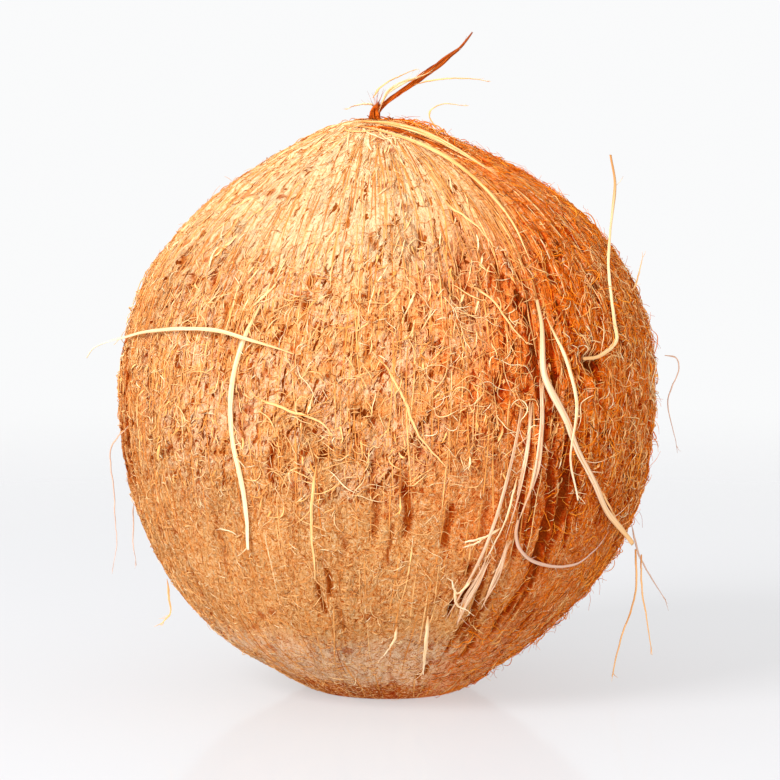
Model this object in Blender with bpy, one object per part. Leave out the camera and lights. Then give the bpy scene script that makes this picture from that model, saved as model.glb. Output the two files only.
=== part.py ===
"""A brown coconut, husked down to its fibrous shell and standing on its resting spot.

Metres, +Z up. The origin is the centre of the flat resting spot. Longitude 0 is the
front of the nut, which faces -Y, and longitudes grow towards +X.
"""

import math

import bmesh
import bpy
import numpy as np
from mathutils import Vector

MM = 0.001

# The nut. Its outline is a crown cap, a shoulder and a lower side, three Bezier arcs.
NUT_HEIGHT = 114.5 * MM
BELLY_RADIUS = 53.4 * MM
BELLY_HEIGHT = 60.0 * MM
CROWN_RADIUS = 10.5 * MM
CROWN_DROP = 1.9 * MM
REST_RADIUS = 14.5 * MM
SHOULDER_PULL = (31.5 * MM, 103.5 * MM)
BELLY_RISE = 30.5 * MM
BELLY_FALL = 23.0 * MM
REST_PULL = (45.0 * MM, 13.5 * MM)

# The axis of the nut leans a little to each side: offset along X at each height.
SWAY = ((0.4, 0.0), (-1.1, 10.0), (0.3, 30.0), (0.7, 50.0), (1.0, 80.0), (0.6, 98.0), (-1.8, 114.5))

# Three blunt ridges, where the three carpels met, run from crown to base.
FIRST_RIDGE = 37.0
RIDGE_DRIFT = 18.0
RIDGE_COUNT = 3
RIDGE_RISE = 0.9 * MM

# How finely the nut is divided.
MERIDIANS = 60
PARALLELS = 36
OUTLINE_STEPS = 24

# How finely a fibre is divided: steps between its route's points, and its roundness.
STEPS_PER_SPAN = 3
ROUND_RESOLUTION = 1

COLLECTION = "coconut"


def clear_scene():
    """Remove whatever the scene already holds."""
    for thing in list(bpy.data.objects):
        bpy.data.objects.remove(thing, do_unlink=True)


def bezier(start, pull_out, pull_in, end, steps=OUTLINE_STEPS):
    """Points along one cubic Bezier arc, both ends included."""
    share = np.linspace(0.0, 1.0, steps + 1)[:, None]
    rest = 1.0 - share
    knots = [np.array(point) for point in (start, pull_out, pull_in, end)]
    return (
        rest**3 * knots[0]
        + 3.0 * rest**2 * share * knots[1]
        + 3.0 * rest * share**2 * knots[2]
        + share**3 * knots[3]
    )


def nut_outline():
    """Radius and height down the side of the nut, from the crown to the resting spot."""
    crown_edge = (CROWN_RADIUS, NUT_HEIGHT - CROWN_DROP)
    belly = (BELLY_RADIUS, BELLY_HEIGHT)
    cap = bezier(
        (0.0, NUT_HEIGHT),
        (0.4 * CROWN_RADIUS, NUT_HEIGHT),
        (0.7 * CROWN_RADIUS, NUT_HEIGHT - 0.25 * CROWN_DROP),
        crown_edge,
    )
    shoulder = bezier(crown_edge, SHOULDER_PULL, (BELLY_RADIUS, BELLY_HEIGHT + BELLY_RISE), belly)
    lower = bezier(belly, (BELLY_RADIUS, BELLY_HEIGHT - BELLY_FALL), REST_PULL, (REST_RADIUS, 0.0))
    return np.vstack([cap, shoulder[1:], lower[1:]])


OUTLINE = nut_outline()
HEIGHTS_UP = OUTLINE[::-1, 1]
RADII_UP = OUTLINE[::-1, 0]
SLOPES_UP = np.gradient(RADII_UP, HEIGHTS_UP)


def smooth_path(points, steps=STEPS_PER_SPAN):
    """A Catmull-Rom curve through the points, with a few steps between each two."""
    given = [np.array(point, float) for point in points]
    ends = [2.0 * given[0] - given[1]] + given + [2.0 * given[-1] - given[-2]]
    found = []
    for before, here, there, after in zip(ends, ends[1:], ends[2:], ends[3:]):
        for step in range(steps):
            t = step / steps
            found.append(
                0.5 * (
                    2.0 * here
                    + (there - before) * t
                    + (2.0 * before - 5.0 * here + 4.0 * there - after) * t**2
                    + (3.0 * here - before - 3.0 * there + after) * t**3
                )
            )
    found.append(given[-1])
    return np.array(found)


LEAN = smooth_path(SWAY) * MM


def lean_at(height):
    """The offset of the nut's axis along X at a height."""
    return float(np.interp(height, LEAN[:, 1], LEAN[:, 0]))


def ridge_at(longitude, height):
    """How far the ridges lift the surface: cubed cosine lobes that fade at both ends."""
    low = max(0.0, 1.0 - height / BELLY_HEIGHT)
    turn = math.radians(longitude - FIRST_RIDGE + RIDGE_DRIFT * low**2)
    lobe = (0.5 + 0.5 * math.cos(RIDGE_COUNT * turn)) ** 3
    fade = math.sin(math.pi * min(max(height / NUT_HEIGHT, 0.0), 1.0)) ** 0.5
    return RIDGE_RISE * lobe * fade


def side_point(longitude, height, radius):
    """A point of the nut's skin, where its plain outline has this radius."""
    full = radius + ridge_at(longitude, height) * min(1.0, radius / REST_RADIUS)
    turn = math.radians(longitude)
    return Vector((lean_at(height) + full * math.sin(turn), -full * math.cos(turn), height))


def on_nut(x_mm, height_mm, lift_mm):
    """A point above the front of the nut, given by its X, its height and its lift."""
    height = height_mm * MM
    radius = float(np.interp(height, HEIGHTS_UP, RADII_UP))
    reach = (x_mm * MM - lean_at(height)) / (radius + 0.3 * RIDGE_RISE)
    longitude = math.degrees(math.asin(max(-1.0, min(1.0, reach))))
    skin = side_point(longitude, height, radius)
    slope = float(np.interp(height, HEIGHTS_UP, SLOPES_UP))
    turn = math.radians(longitude)
    outward = Vector((math.sin(turn), -math.cos(turn), -slope)).normalized()
    return skin + outward * lift_mm * MM


def free(x_mm, y_mm, height_mm):
    """A point clear of the nut."""
    return Vector((x_mm, y_mm, height_mm)) * MM


def material(name, colour, roughness):
    """A plain dielectric finish."""
    made = bpy.data.materials.new(name)
    made.use_nodes = True
    shader = made.node_tree.nodes["Principled BSDF"]
    shader.inputs["Base Color"].default_value = (*colour, 1.0)
    shader.inputs["Roughness"].default_value = roughness
    shader.inputs["Metallic"].default_value = 0.0
    made.diffuse_color = (*colour, 1.0)
    return made


def link(thing, finish, parent):
    """Put a finished object in the coconut's collection, under its parent."""
    thing.data.materials.append(finish)
    bpy.data.collections[COLLECTION].objects.link(thing)
    thing.parent = parent


def build_nut(finish, parent):
    """The nut: a UV sphere whose rings are drawn out to the outline, flat where it rests."""
    mesh = bpy.data.meshes.new("nut")
    body = bmesh.new()
    bmesh.ops.create_uvsphere(body, u_segments=MERIDIANS, v_segments=PARALLELS, radius=1.0)
    lengths = np.linalg.norm(np.diff(OUTLINE, axis=0), axis=1)
    travelled = np.concatenate([[0.0], np.cumsum(lengths)])
    last_ring = PARALLELS - 1
    for vertex in body.verts:
        ring = round(math.acos(max(-1.0, min(1.0, vertex.co.z))) / math.pi * PARALLELS)
        if ring == PARALLELS:
            vertex.co = Vector((0.0, 0.0, 0.0))
            continue
        longitude = math.degrees(math.atan2(vertex.co.x, -vertex.co.y))
        along = travelled[-1] * ring / last_ring
        radius = float(np.interp(along, travelled, OUTLINE[:, 0]))
        height = float(np.interp(along, travelled, OUTLINE[:, 1]))
        vertex.co = side_point(longitude, height, radius)
    bmesh.ops.recalc_face_normals(body, faces=body.faces)
    body.to_mesh(mesh)
    body.free()
    mesh.shade_smooth()
    nut = bpy.data.objects.new("nut", mesh)
    link(nut, finish, parent)


def build_fibre(name, radius_mm, route, finish, parent, tip=0.35):
    """A fibre: a round tube on a smooth curve, thinning to its far tip."""
    points = smooth_path(route)
    curve = bpy.data.curves.new(name, "CURVE")
    curve.dimensions = "3D"
    curve.bevel_depth = radius_mm * MM
    curve.bevel_resolution = ROUND_RESOLUTION
    curve.use_fill_caps = True
    spline = curve.splines.new("POLY")
    spline.points.add(len(points) - 1)
    for index, (knot, point) in enumerate(zip(spline.points, points)):
        share = index / (len(points) - 1)
        knot.co = (*point, 1.0)
        knot.radius = 1.0 - (1.0 - tip) * share**2
    link(bpy.data.objects.new(name, curve), finish, parent)


def crown_routes():
    """The twisted tuft left by the stalk, and the fibres round it on the crown."""
    return {
        "crown_tuft": (0.95, [
            free(-1.4, -2.0, 116.0), free(0.6, -1.6, 117.6), free(3.2, -1.0, 119.4), free(6.8, 0.0, 122.2),
            free(9.8, 0.6, 124.3), free(13.2, 1.0, 126.8), free(15.4, 1.2, 128.8), free(17.2, 1.2, 131.2),
        ]),
        "crown_long_fibre": (0.25, [
            free(8.6, -1.6, 121.4), free(11.8, -2.6, 121.9), free(16.0, -3.2, 122.0), free(20.2, -3.4, 121.4),
        ]),
        "crown_arc_fibre": (0.25, [
            free(-2.6, -1.0, 118.2), free(-1.2, 1.0, 120.2), free(1.6, 2.4, 122.0), free(5.8, 3.4, 123.8),
        ]),
        "crown_left_fibre": (0.3, [
            free(-1.6, 1.6, 116.4), free(-4.2, 1.2, 117.0), free(-7.2, 0.6, 116.3),
        ]),
        "crown_curl": (0.2, [
            free(9.2, -2.0, 113.8), free(8.6, -1.6, 115.0), free(9.5, -1.2, 116.2), free(11.7, -1.0, 117.0),
            free(16.3, -0.6, 116.6),
        ]),
        "rim_fibre": (0.4, [
            free(-8.0, -6.0, 114.2), on_nut(0.5, 111.4, 1.0), on_nut(7.5, 109.4, 1.0), on_nut(16.0, 104.0, 0.9),
            on_nut(21.5, 96.0, 0.9), on_nut(26.0, 88.0, 0.9),
        ]),
        "rim_short_fibre": (0.3, [
            free(3.2, -5.4, 115.2), free(8.4, -5.0, 114.2), on_nut(13.0, 109.5, 0.9), on_nut(18.0, 105.5, 0.8),
        ]),
    }


def ridge_routes():
    """The pale strand along the right ridge, its two loose tails and its companion."""
    return {
        "ridge_strand": (0.5, [
            on_nut(28.0, 80.5, 1.0), on_nut(29.0, 75.0, 1.0), on_nut(29.5, 68.0, 1.0), on_nut(30.5, 64.0, 1.0),
            on_nut(33.5, 58.0, 1.0), on_nut(36.0, 52.0, 1.1), on_nut(39.0, 46.0, 1.3), on_nut(42.0, 39.5, 1.8),
            free(48.2, -18.5, 31.6),
        ]),
        "ridge_tail_inner": (0.3, [
            free(48.8, -17.4, 30.2), free(49.2, -15.0, 22.5), free(48.4, -12.0, 17.5), free(46.8, -11.0, 12.5),
            free(45.8, -10.0, 8.5), free(45.0, -9.0, 3.6),
        ]),
        "ridge_tail_outer": (0.25, [
            free(50.0, -16.5, 29.0), free(50.5, -11.5, 22.0), free(52.0, -7.5, 14.0), free(53.0, -6.5, 7.5),
        ]),
        "ridge_twin": (0.3, [
            on_nut(40.4, 44.5, 1.0), on_nut(43.8, 38.6, 1.0), on_nut(45.6, 34.6, 1.0),
        ]),
        "ridge_companion": (0.35, [
            on_nut(30.0, 77.5, 0.8), on_nut(33.0, 70.0, 1.6), on_nut(34.5, 61.0, 2.6), on_nut(34.0, 51.0, 2.6),
            on_nut(36.0, 42.5, 1.6),
        ]),
        "upright_strand": (0.4, [
            on_nut(37.6, 69.4, 0.9), on_nut(40.8, 69.6, 1.1), on_nut(43.4, 72.0, 1.2), on_nut(43.2, 75.0, 1.2),
            on_nut(42.4, 80.4, 1.3), on_nut(42.0, 86.0, 2.0), free(43.4, -18.0, 91.2), free(44.2, -12.5, 96.0),
            free(45.0, -8.0, 101.4), free(44.2, -6.0, 107.0),
        ]),
    }


def suture_routes():
    """The grey bundles that follow the seam beside the ridge, and the loop below them."""
    return {
        "suture_bundle_outer": (0.4, [
            on_nut(29.0, 66.0, 0.8), on_nut(28.0, 58.0, 0.8), on_nut(27.0, 50.0, 0.8), on_nut(24.5, 41.5, 0.8),
        ]),
        "suture_bundle_inner": (0.4, [
            on_nut(25.5, 61.0, 0.8), on_nut(23.5, 50.5, 0.8), on_nut(20.5, 39.5, 0.8), on_nut(17.0, 30.0, 0.8),
            on_nut(12.0, 20.5, 0.8),
        ]),
        "suture_loop": (0.3, [
            on_nut(24.2, 39.4, 0.7), on_nut(24.0, 36.8, 0.9), on_nut(25.0, 33.6, 1.2), on_nut(27.6, 31.0, 1.2),
            on_nut(32.0, 29.4, 1.2), on_nut(36.2, 29.4, 1.2), on_nut(40.2, 31.2, 1.2), on_nut(42.0, 33.0, 1.0),
        ]),
        "suture_foot_bundle": (0.4, [
            on_nut(22.6, 35.6, 0.8), on_nut(21.6, 31.6, 0.8), on_nut(19.6, 26.6, 0.8), on_nut(17.8, 21.6, 0.8),
        ]),
    }


def front_routes():
    """Single fibres that lie across the front, most of them half lifted off."""
    return {
        "cross_strand": (0.35, [
            on_nut(-17.2, 71.0, 0.7), on_nut(-20.4, 72.0, 0.9), on_nut(-25.4, 73.2, 2.2), on_nut(-30.8, 74.4, 2.4),
            on_nut(-37.4, 74.6, 1.6), on_nut(-45.2, 73.4, 1.6), free(-53.0, -9.0, 70.8), free(-57.6, -6.0, 69.0),
            free(-59.4, -5.0, 66.8),
        ]),
        "hanging_strand": (0.45, [
            on_nut(-23.5, 80.0, 0.8), on_nut(-27.0, 72.5, 0.8), on_nut(-29.0, 64.0, 0.9), on_nut(-28.5, 54.5, 0.9),
            on_nut(-26.5, 43.5, 1.0), on_nut(-26.0, 33.5, 1.0),
        ]),
        "shoulder_fibre": (0.25, [
            on_nut(11.2, 99.0, 0.7), on_nut(12.8, 97.8, 0.7), on_nut(17.0, 94.6, 0.7), on_nut(20.2, 90.6, 0.7),
        ]),
        "upper_slant_fibre": (0.25, [
            on_nut(15.4, 84.0, 0.7), on_nut(19.8, 81.0, 0.7), on_nut(23.2, 76.4, 0.7), on_nut(26.0, 72.6, 0.7),
        ]),
        "middle_slant_fibre": (0.25, [
            on_nut(-1.0, 70.5, 0.7), on_nut(3.0, 64.0, 0.7), on_nut(6.0, 56.5, 0.7), on_nut(11.5, 50.0, 0.7),
        ]),
        "left_slant_fibre": (0.25, [
            on_nut(-24.4, 62.6, 0.7), on_nut(-18.4, 60.6, 0.8), on_nut(-12.0, 58.6, 0.8), on_nut(-10.0, 56.0, 0.7),
        ]),
        "foot_tag_left": (0.25, [
            on_nut(2.2, 18.2, 0.7), on_nut(1.6, 15.8, 1.2), on_nut(-0.4, 12.4, 1.6),
        ]),
        "foot_tag_right": (0.35, [
            on_nut(8.0, 20.5, 0.8), on_nut(7.5, 14.5, 1.4), on_nut(7.0, 8.0, 1.8),
        ]),
    }


def side_routes():
    """Thin fibres that stand off the left and right sides."""
    return {
        "left_thread_long": (0.2, [
            on_nut(-50.6, 54.2, 0.7), free(-54.4, -9.0, 48.8), free(-54.0, -7.0, 39.6), free(-53.6, -6.0, 31.8),
            free(-54.0, -5.5, 27.4), free(-54.8, -5.0, 23.6),
        ]),
        "left_thread_short": (0.2, [
            free(-49.6, -13.0, 38.8), free(-50.0, -9.0, 35.0), free(-50.2, -7.0, 30.0), free(-49.6, -6.0, 25.4),
        ]),
        "left_foot_tag": (0.25, [
            free(-43.2, -12.0, 23.6), free(-43.0, -8.0, 18.4), free(-43.0, -6.5, 15.8), free(-45.0, -5.5, 13.4),
        ]),
        "right_rear_strand": (0.3, [
            free(48.4, -12.0, 34.4), free(50.4, -4.0, 27.6), free(53.2, 1.0, 22.4), free(56.6, 4.0, 17.0),
        ]),
        "right_curl": (0.2, [
            free(55.2, -6.0, 67.4), free(57.6, -4.0, 66.8), free(58.2, -3.6, 64.4), free(56.9, -3.6, 60.8),
            free(56.1, -3.6, 57.4), free(57.6, -3.0, 50.6), free(58.2, -3.0, 47.6),
        ]),
    }


def main():
    """Build the nut and each of its loose fibres, under one empty."""
    clear_scene()
    collection = bpy.data.collections.new(COLLECTION)
    bpy.context.scene.collection.children.link(collection)
    base = bpy.data.objects.new("resting_spot", None)
    collection.objects.link(base)

    husk = material("husk_skin", (0.60, 0.30, 0.12), 0.85)
    stalk = material("stalk_fibre", (0.36, 0.11, 0.03), 0.75)
    pale = material("pale_fibre", (0.86, 0.66, 0.36), 0.6)
    grey = material("suture_fibre", (0.50, 0.36, 0.26), 0.75)
    golden = material("golden_fibre", (0.72, 0.42, 0.15), 0.7)

    build_nut(husk, base)
    groups = (
        (crown_routes(), golden),
        (ridge_routes(), pale),
        (suture_routes(), grey),
        (front_routes(), pale),
        (side_routes(), golden),
    )
    for routes, finish in groups:
        for name, (radius_mm, route) in routes.items():
            build_fibre(name, radius_mm, route, stalk if name == "crown_tuft" else finish, base)


if __name__ == "__main__":
    main()
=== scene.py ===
"""The looks of a husked brown coconut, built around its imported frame.

Lengths inside the classes are millimetres of the nut's own design, and the frame's
scale turns them into metres when a mesh is made. Longitudes are degrees, 0 at the
front (-Y) and growing towards +X. "Along" is the distance down the skin from the
crown's centre to the middle of the resting spot.
"""

import logging
import math
from dataclasses import dataclass, field
from enum import Enum

import bpy
import numpy as np
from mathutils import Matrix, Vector


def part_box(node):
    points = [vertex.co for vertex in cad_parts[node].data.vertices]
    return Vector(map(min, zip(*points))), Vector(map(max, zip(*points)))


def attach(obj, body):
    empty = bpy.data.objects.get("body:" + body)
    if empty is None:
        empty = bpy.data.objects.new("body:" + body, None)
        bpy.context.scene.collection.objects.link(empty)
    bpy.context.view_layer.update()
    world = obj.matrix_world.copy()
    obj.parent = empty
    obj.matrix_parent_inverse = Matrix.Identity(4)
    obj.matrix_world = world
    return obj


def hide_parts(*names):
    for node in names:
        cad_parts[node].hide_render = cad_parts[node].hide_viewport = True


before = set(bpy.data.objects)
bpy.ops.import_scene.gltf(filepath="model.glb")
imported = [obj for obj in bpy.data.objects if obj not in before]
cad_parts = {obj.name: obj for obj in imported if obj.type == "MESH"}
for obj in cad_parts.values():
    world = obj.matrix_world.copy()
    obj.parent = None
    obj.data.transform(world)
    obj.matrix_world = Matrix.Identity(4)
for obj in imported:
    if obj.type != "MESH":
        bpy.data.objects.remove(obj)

LOG = logging.getLogger("coconut")
Array = np.ndarray
Colour = tuple[float, float, float]

BODY = "root"
NUT_NODE = "nut"
NUT_DESIGN_HEIGHT = 114.5
BAKE_MAP = "OFBake"
DRY_SPECULAR = 0.02
ANY_ANGLE = (0.0, 6.28)
STRAND_SEEDS = 300
SHEAF_SEEDS = 400


class Slot(Enum):
    """The record's material slots."""

    SKIN = "husk_skin"
    STALK = "stalk_fibre"
    GOLDEN = "golden_fibre"
    SUTURE = "suture_fibre"
    PALE = "pale_fibre"


# ---------------------------------------------------------------- numbers


def ease(low: float, high: float, value: Array) -> Array:
    """Smooth step: 0 below low, 1 above high, and 3t^2 - 2t^3 between."""
    share = np.clip((value - low) / (high - low), 0.0, 1.0)
    return share * share * (3.0 - 2.0 * share)


def hill(low: float, foot: float, brow: float, high: float, value: Array) -> Array:
    """A plateau: rises from low to foot, stays 1 to brow, and falls to 0 at high."""
    return ease(low, foot, value) * (1.0 - ease(brow, high, value))


def smooth_path(points: Array, steps: int) -> Array:
    """A Catmull-Rom curve through the points.

    Args:
        points: one row per point.
        steps: how many steps between each two points.

    Returns:
        The curve's points, the given ones among them.
    """
    given = np.asarray(points, float)
    ends = np.vstack([2.0 * given[0] - given[1], given, 2.0 * given[-1] - given[-2]])
    share = (np.arange(steps) / steps)[None, :, None]
    before, here, there, after = (ends[i : i + len(given) - 1, None] for i in range(4))
    curve = 0.5 * (
        2.0 * here
        + (there - before) * share
        + (2.0 * before - 5.0 * here + 4.0 * there - after) * share**2
        + (3.0 * here - before - 3.0 * there + after) * share**3
    )
    return np.vstack([curve.reshape(-1, given.shape[1]), given[-1]])


def corner_value(cells: Array, seed: int) -> Array:
    """A fixed random number from 0 to 1 for each whole-numbered cell corner."""
    x, y, z = (cells[..., i].astype(np.int64).astype(np.uint32) for i in range(3))
    mixed = x * np.uint32(374761393) + y * np.uint32(668265263) + z * np.uint32(2246822519)
    mixed = mixed + np.uint32(seed * 3266489917 % 2**32)
    mixed = (mixed ^ (mixed >> np.uint32(13))) * np.uint32(1274126177)
    mixed = mixed ^ (mixed >> np.uint32(16))
    return (mixed & np.uint32(0xFFFFFF)).astype(np.float32) / float(0xFFFFFF)


def soft_noise(places: Array, seed: int) -> Array:
    """Value noise from -1 to 1: corner numbers blended by a smooth step on each axis."""
    low = np.floor(places)
    part = places - low
    part = part * part * (3.0 - 2.0 * part)
    total = np.zeros(places.shape[:-1])
    for corner in range(8):
        step = np.array([corner & 1, corner >> 1 & 1, corner >> 2 & 1])
        weight = np.prod(np.where(step == 1, part, 1.0 - part), axis=-1)
        total += weight * corner_value(low + step, seed)
    return 2.0 * total - 1.0


def rough_noise(places: Array, seed: int, octaves: int = 3) -> Array:
    """Octaves of value noise, each twice as fine and half as strong."""
    total = np.zeros(places.shape[:-1])
    for octave in range(octaves):
        total += soft_noise(places * 2.0**octave, seed + 17 * octave) * 0.5**octave
    return total / (2.0 - 0.5 ** (octaves - 1))


def unit_rows(vectors: Array) -> Array:
    """Each vector at length 1."""
    return vectors / np.maximum(np.linalg.norm(vectors, axis=-1, keepdims=True), 1e-12)


def line_noise(share: Array, pace: float, seed: int, row: float = 0.0, layer: float = 0.0) -> Array:
    """Rough noise read along a line, at its own pace, row and layer."""
    still = np.zeros_like(share)
    return rough_noise(np.stack([share * pace, still + row, still + layer], -1), seed)


def read_rows(spots: Array, share: Array, rows: Array) -> Array:
    """Points or directions read between rows that stand at the given shares."""
    return np.stack([np.interp(spots, share, rows[:, i]) for i in range(3)], -1)


def wrapped(degrees: Array) -> Array:
    """Degrees brought between -180 and 180."""
    return np.mod(degrees + 180.0, 360.0) - 180.0


def ring_quads(number: Array) -> Array:
    """Quads between neighbouring closed rings of point numbers."""
    turned = np.roll(number, -1, axis=1)
    return np.stack([number[:-1], number[1:], turned[1:], turned[:-1]], -1).reshape(-1, 4)


def map_quads(grid: Array) -> Array:
    """The four corners of every cell in a stack of grids of map places."""
    corners = [grid[:, :-1, :-1], grid[:, 1:, :-1], grid[:, 1:, 1:], grid[:, :-1, 1:]]
    return np.stack(corners, -2).reshape(-1, 4, 2)


# ---------------------------------------------------------------- the nut's shape


@dataclass
class NutForm:
    """The bare form of the nut: an outline turned about a leaning axis, with three ridges.

    The outline is three Bezier arcs, crown cap, shoulder and lower side, and then the
    straight line across the flat resting spot.
    """

    height: float = NUT_DESIGN_HEIGHT
    belly_radius: float = 53.4
    belly_height: float = 60.0
    crown_radius: float = 10.5
    crown_drop: float = 1.9
    rest_radius: float = 14.5
    shoulder_pull: tuple[float, float] = (31.5, 103.5)
    belly_rise: float = 30.5
    belly_fall: float = 23.0
    rest_pull: tuple[float, float] = (45.0, 13.5)
    first_ridge: float = 37.0
    ridge_drift: float = 18.0
    ridge_rise: float = 0.9
    sway: tuple[tuple[float, float], ...] = (
        (0.4, 0.0), (-1.1, 10.0), (0.3, 30.0), (0.7, 50.0), (1.0, 80.0), (0.6, 98.0), (-1.8, 114.5),
    )
    outline: Array = field(init=False)
    travelled: Array = field(init=False)
    lean: Array = field(init=False)
    outward: Array = field(init=False)

    def __post_init__(self) -> None:
        """Lay out the outline, its length, its normals and the lean of the axis."""
        crown_edge = (self.crown_radius, self.height - self.crown_drop)
        belly = (self.belly_radius, self.belly_height)
        cap = self.arc(
            (0.0, self.height),
            (0.4 * self.crown_radius, self.height),
            (0.7 * self.crown_radius, self.height - 0.25 * self.crown_drop),
            crown_edge,
        )
        side_pull = (self.belly_radius, self.belly_height + self.belly_rise)
        shoulder = self.arc(crown_edge, self.shoulder_pull, side_pull, belly)
        low_pull = (self.belly_radius, self.belly_height - self.belly_fall)
        lower = self.arc(belly, low_pull, self.rest_pull, (self.rest_radius, 0.0))
        spot = np.stack([np.linspace(self.rest_radius, 0.0, 12), np.zeros(12)], 1)
        self.outline = np.vstack([cap, shoulder[1:], lower[1:], spot[1:]])
        steps = np.linalg.norm(np.diff(self.outline, axis=0), axis=1)
        self.travelled = np.concatenate([[0.0], np.cumsum(steps)])
        slope = np.gradient(self.outline, self.travelled, axis=0)
        self.outward = unit_rows(np.stack([-slope[:, 1], slope[:, 0]], 1))
        self.lean = smooth_path(np.array(self.sway), 6)

    @staticmethod
    def arc(start: tuple, pull_out: tuple, pull_in: tuple, end: tuple, steps: int = 48) -> Array:
        """A cubic Bezier arc: the four points weighted by the powers of t and 1 - t."""
        t = np.linspace(0.0, 1.0, steps + 1)[:, None]
        weights = ((1 - t) ** 3, 3 * (1 - t) ** 2 * t, 3 * (1 - t) * t**2, t**3)
        return sum(w * np.array(p) for w, p in zip(weights, (start, pull_out, pull_in, end)))

    @property
    def length(self) -> float:
        """The whole way down the skin, from the crown to the middle of the resting spot."""
        return float(self.travelled[-1])

    def radius(self, along: Array) -> Array:
        """The outline's radius at a distance down the skin."""
        return np.interp(along, self.travelled, self.outline[:, 0])

    def level(self, along: Array) -> Array:
        """The outline's height at a distance down the skin."""
        return np.interp(along, self.travelled, self.outline[:, 1])

    def along_at(self, level: Array) -> Array:
        """The distance down the skin at a height."""
        last = int(np.argmin(self.outline[:, 1]))
        heights = self.outline[: last + 1, 1][::-1]
        return np.interp(level, heights, self.travelled[: last + 1][::-1])

    def axis_offset(self, level: Array) -> Array:
        """How far the axis leans along X at a height."""
        return np.interp(level, self.lean[:, 1], self.lean[:, 0])

    def ridge_turn(self, longitude: Array, level: Array) -> Array:
        """Thirds of a turn past the first ridge, from 0 to 3; whole numbers are ridges."""
        low = np.clip(1.0 - level / self.belly_height, 0.0, 1.0)
        ridge = self.first_ridge - self.ridge_drift * low**2
        return np.mod(longitude - ridge, 360.0) / 120.0

    def ridge_swell(self, longitude: Array, level: Array) -> Array:
        """The lift of the ridges: a raised cosine cubed, fading at crown and base."""
        turn = self.ridge_turn(longitude, level)
        lobe = (0.5 + 0.5 * np.cos(2.0 * np.pi * turn)) ** 3
        fade = np.sqrt(np.sin(np.pi * np.clip(level / self.height, 0.0, 1.0)))
        return self.ridge_rise * lobe * fade

    def normals(self, longitude: Array, along: Array) -> Array:
        """Outward directions: the outline's own normal turned to the longitude."""
        side = np.interp(along, self.travelled, self.outward[:, 0])
        up = np.interp(along, self.travelled, self.outward[:, 1])
        turn = np.radians(longitude)
        return unit_rows(np.stack([side * np.sin(turn), -side * np.cos(turn), up], -1))

    def place(self, longitude: Array, along: Array, lift: Array | float = 0.0) -> Array:
        """Points over the skin.

        The outline's radius and height at that distance, plus the ridges, turned about
        the leaning axis, and then moved out along the normal by the lift.

        Args:
            longitude: degrees.
            along: distance down the skin.
            lift: how far off the bare form.

        Returns:
            Points, in design millimetres.
        """
        level = self.level(along)
        radius = self.radius(along)
        radius = radius + self.ridge_swell(longitude, level) * np.minimum(1.0, radius / self.rest_radius)
        turn = np.radians(longitude)
        x = self.axis_offset(level) + radius * np.sin(turn)
        bare = np.stack([x, -radius * np.cos(turn), level * np.ones_like(turn)], -1)
        return bare + self.normals(longitude, along) * np.asarray(lift)[..., None]

    def front_longitude(self, x: Array, level: Array) -> Array:
        """The longitude on the front whose skin has this X at this height."""
        reach = self.radius(self.along_at(level)) + 0.3 * self.ridge_rise
        return np.degrees(np.arcsin(np.clip((x - self.axis_offset(level)) / reach, -1.0, 1.0)))


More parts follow.
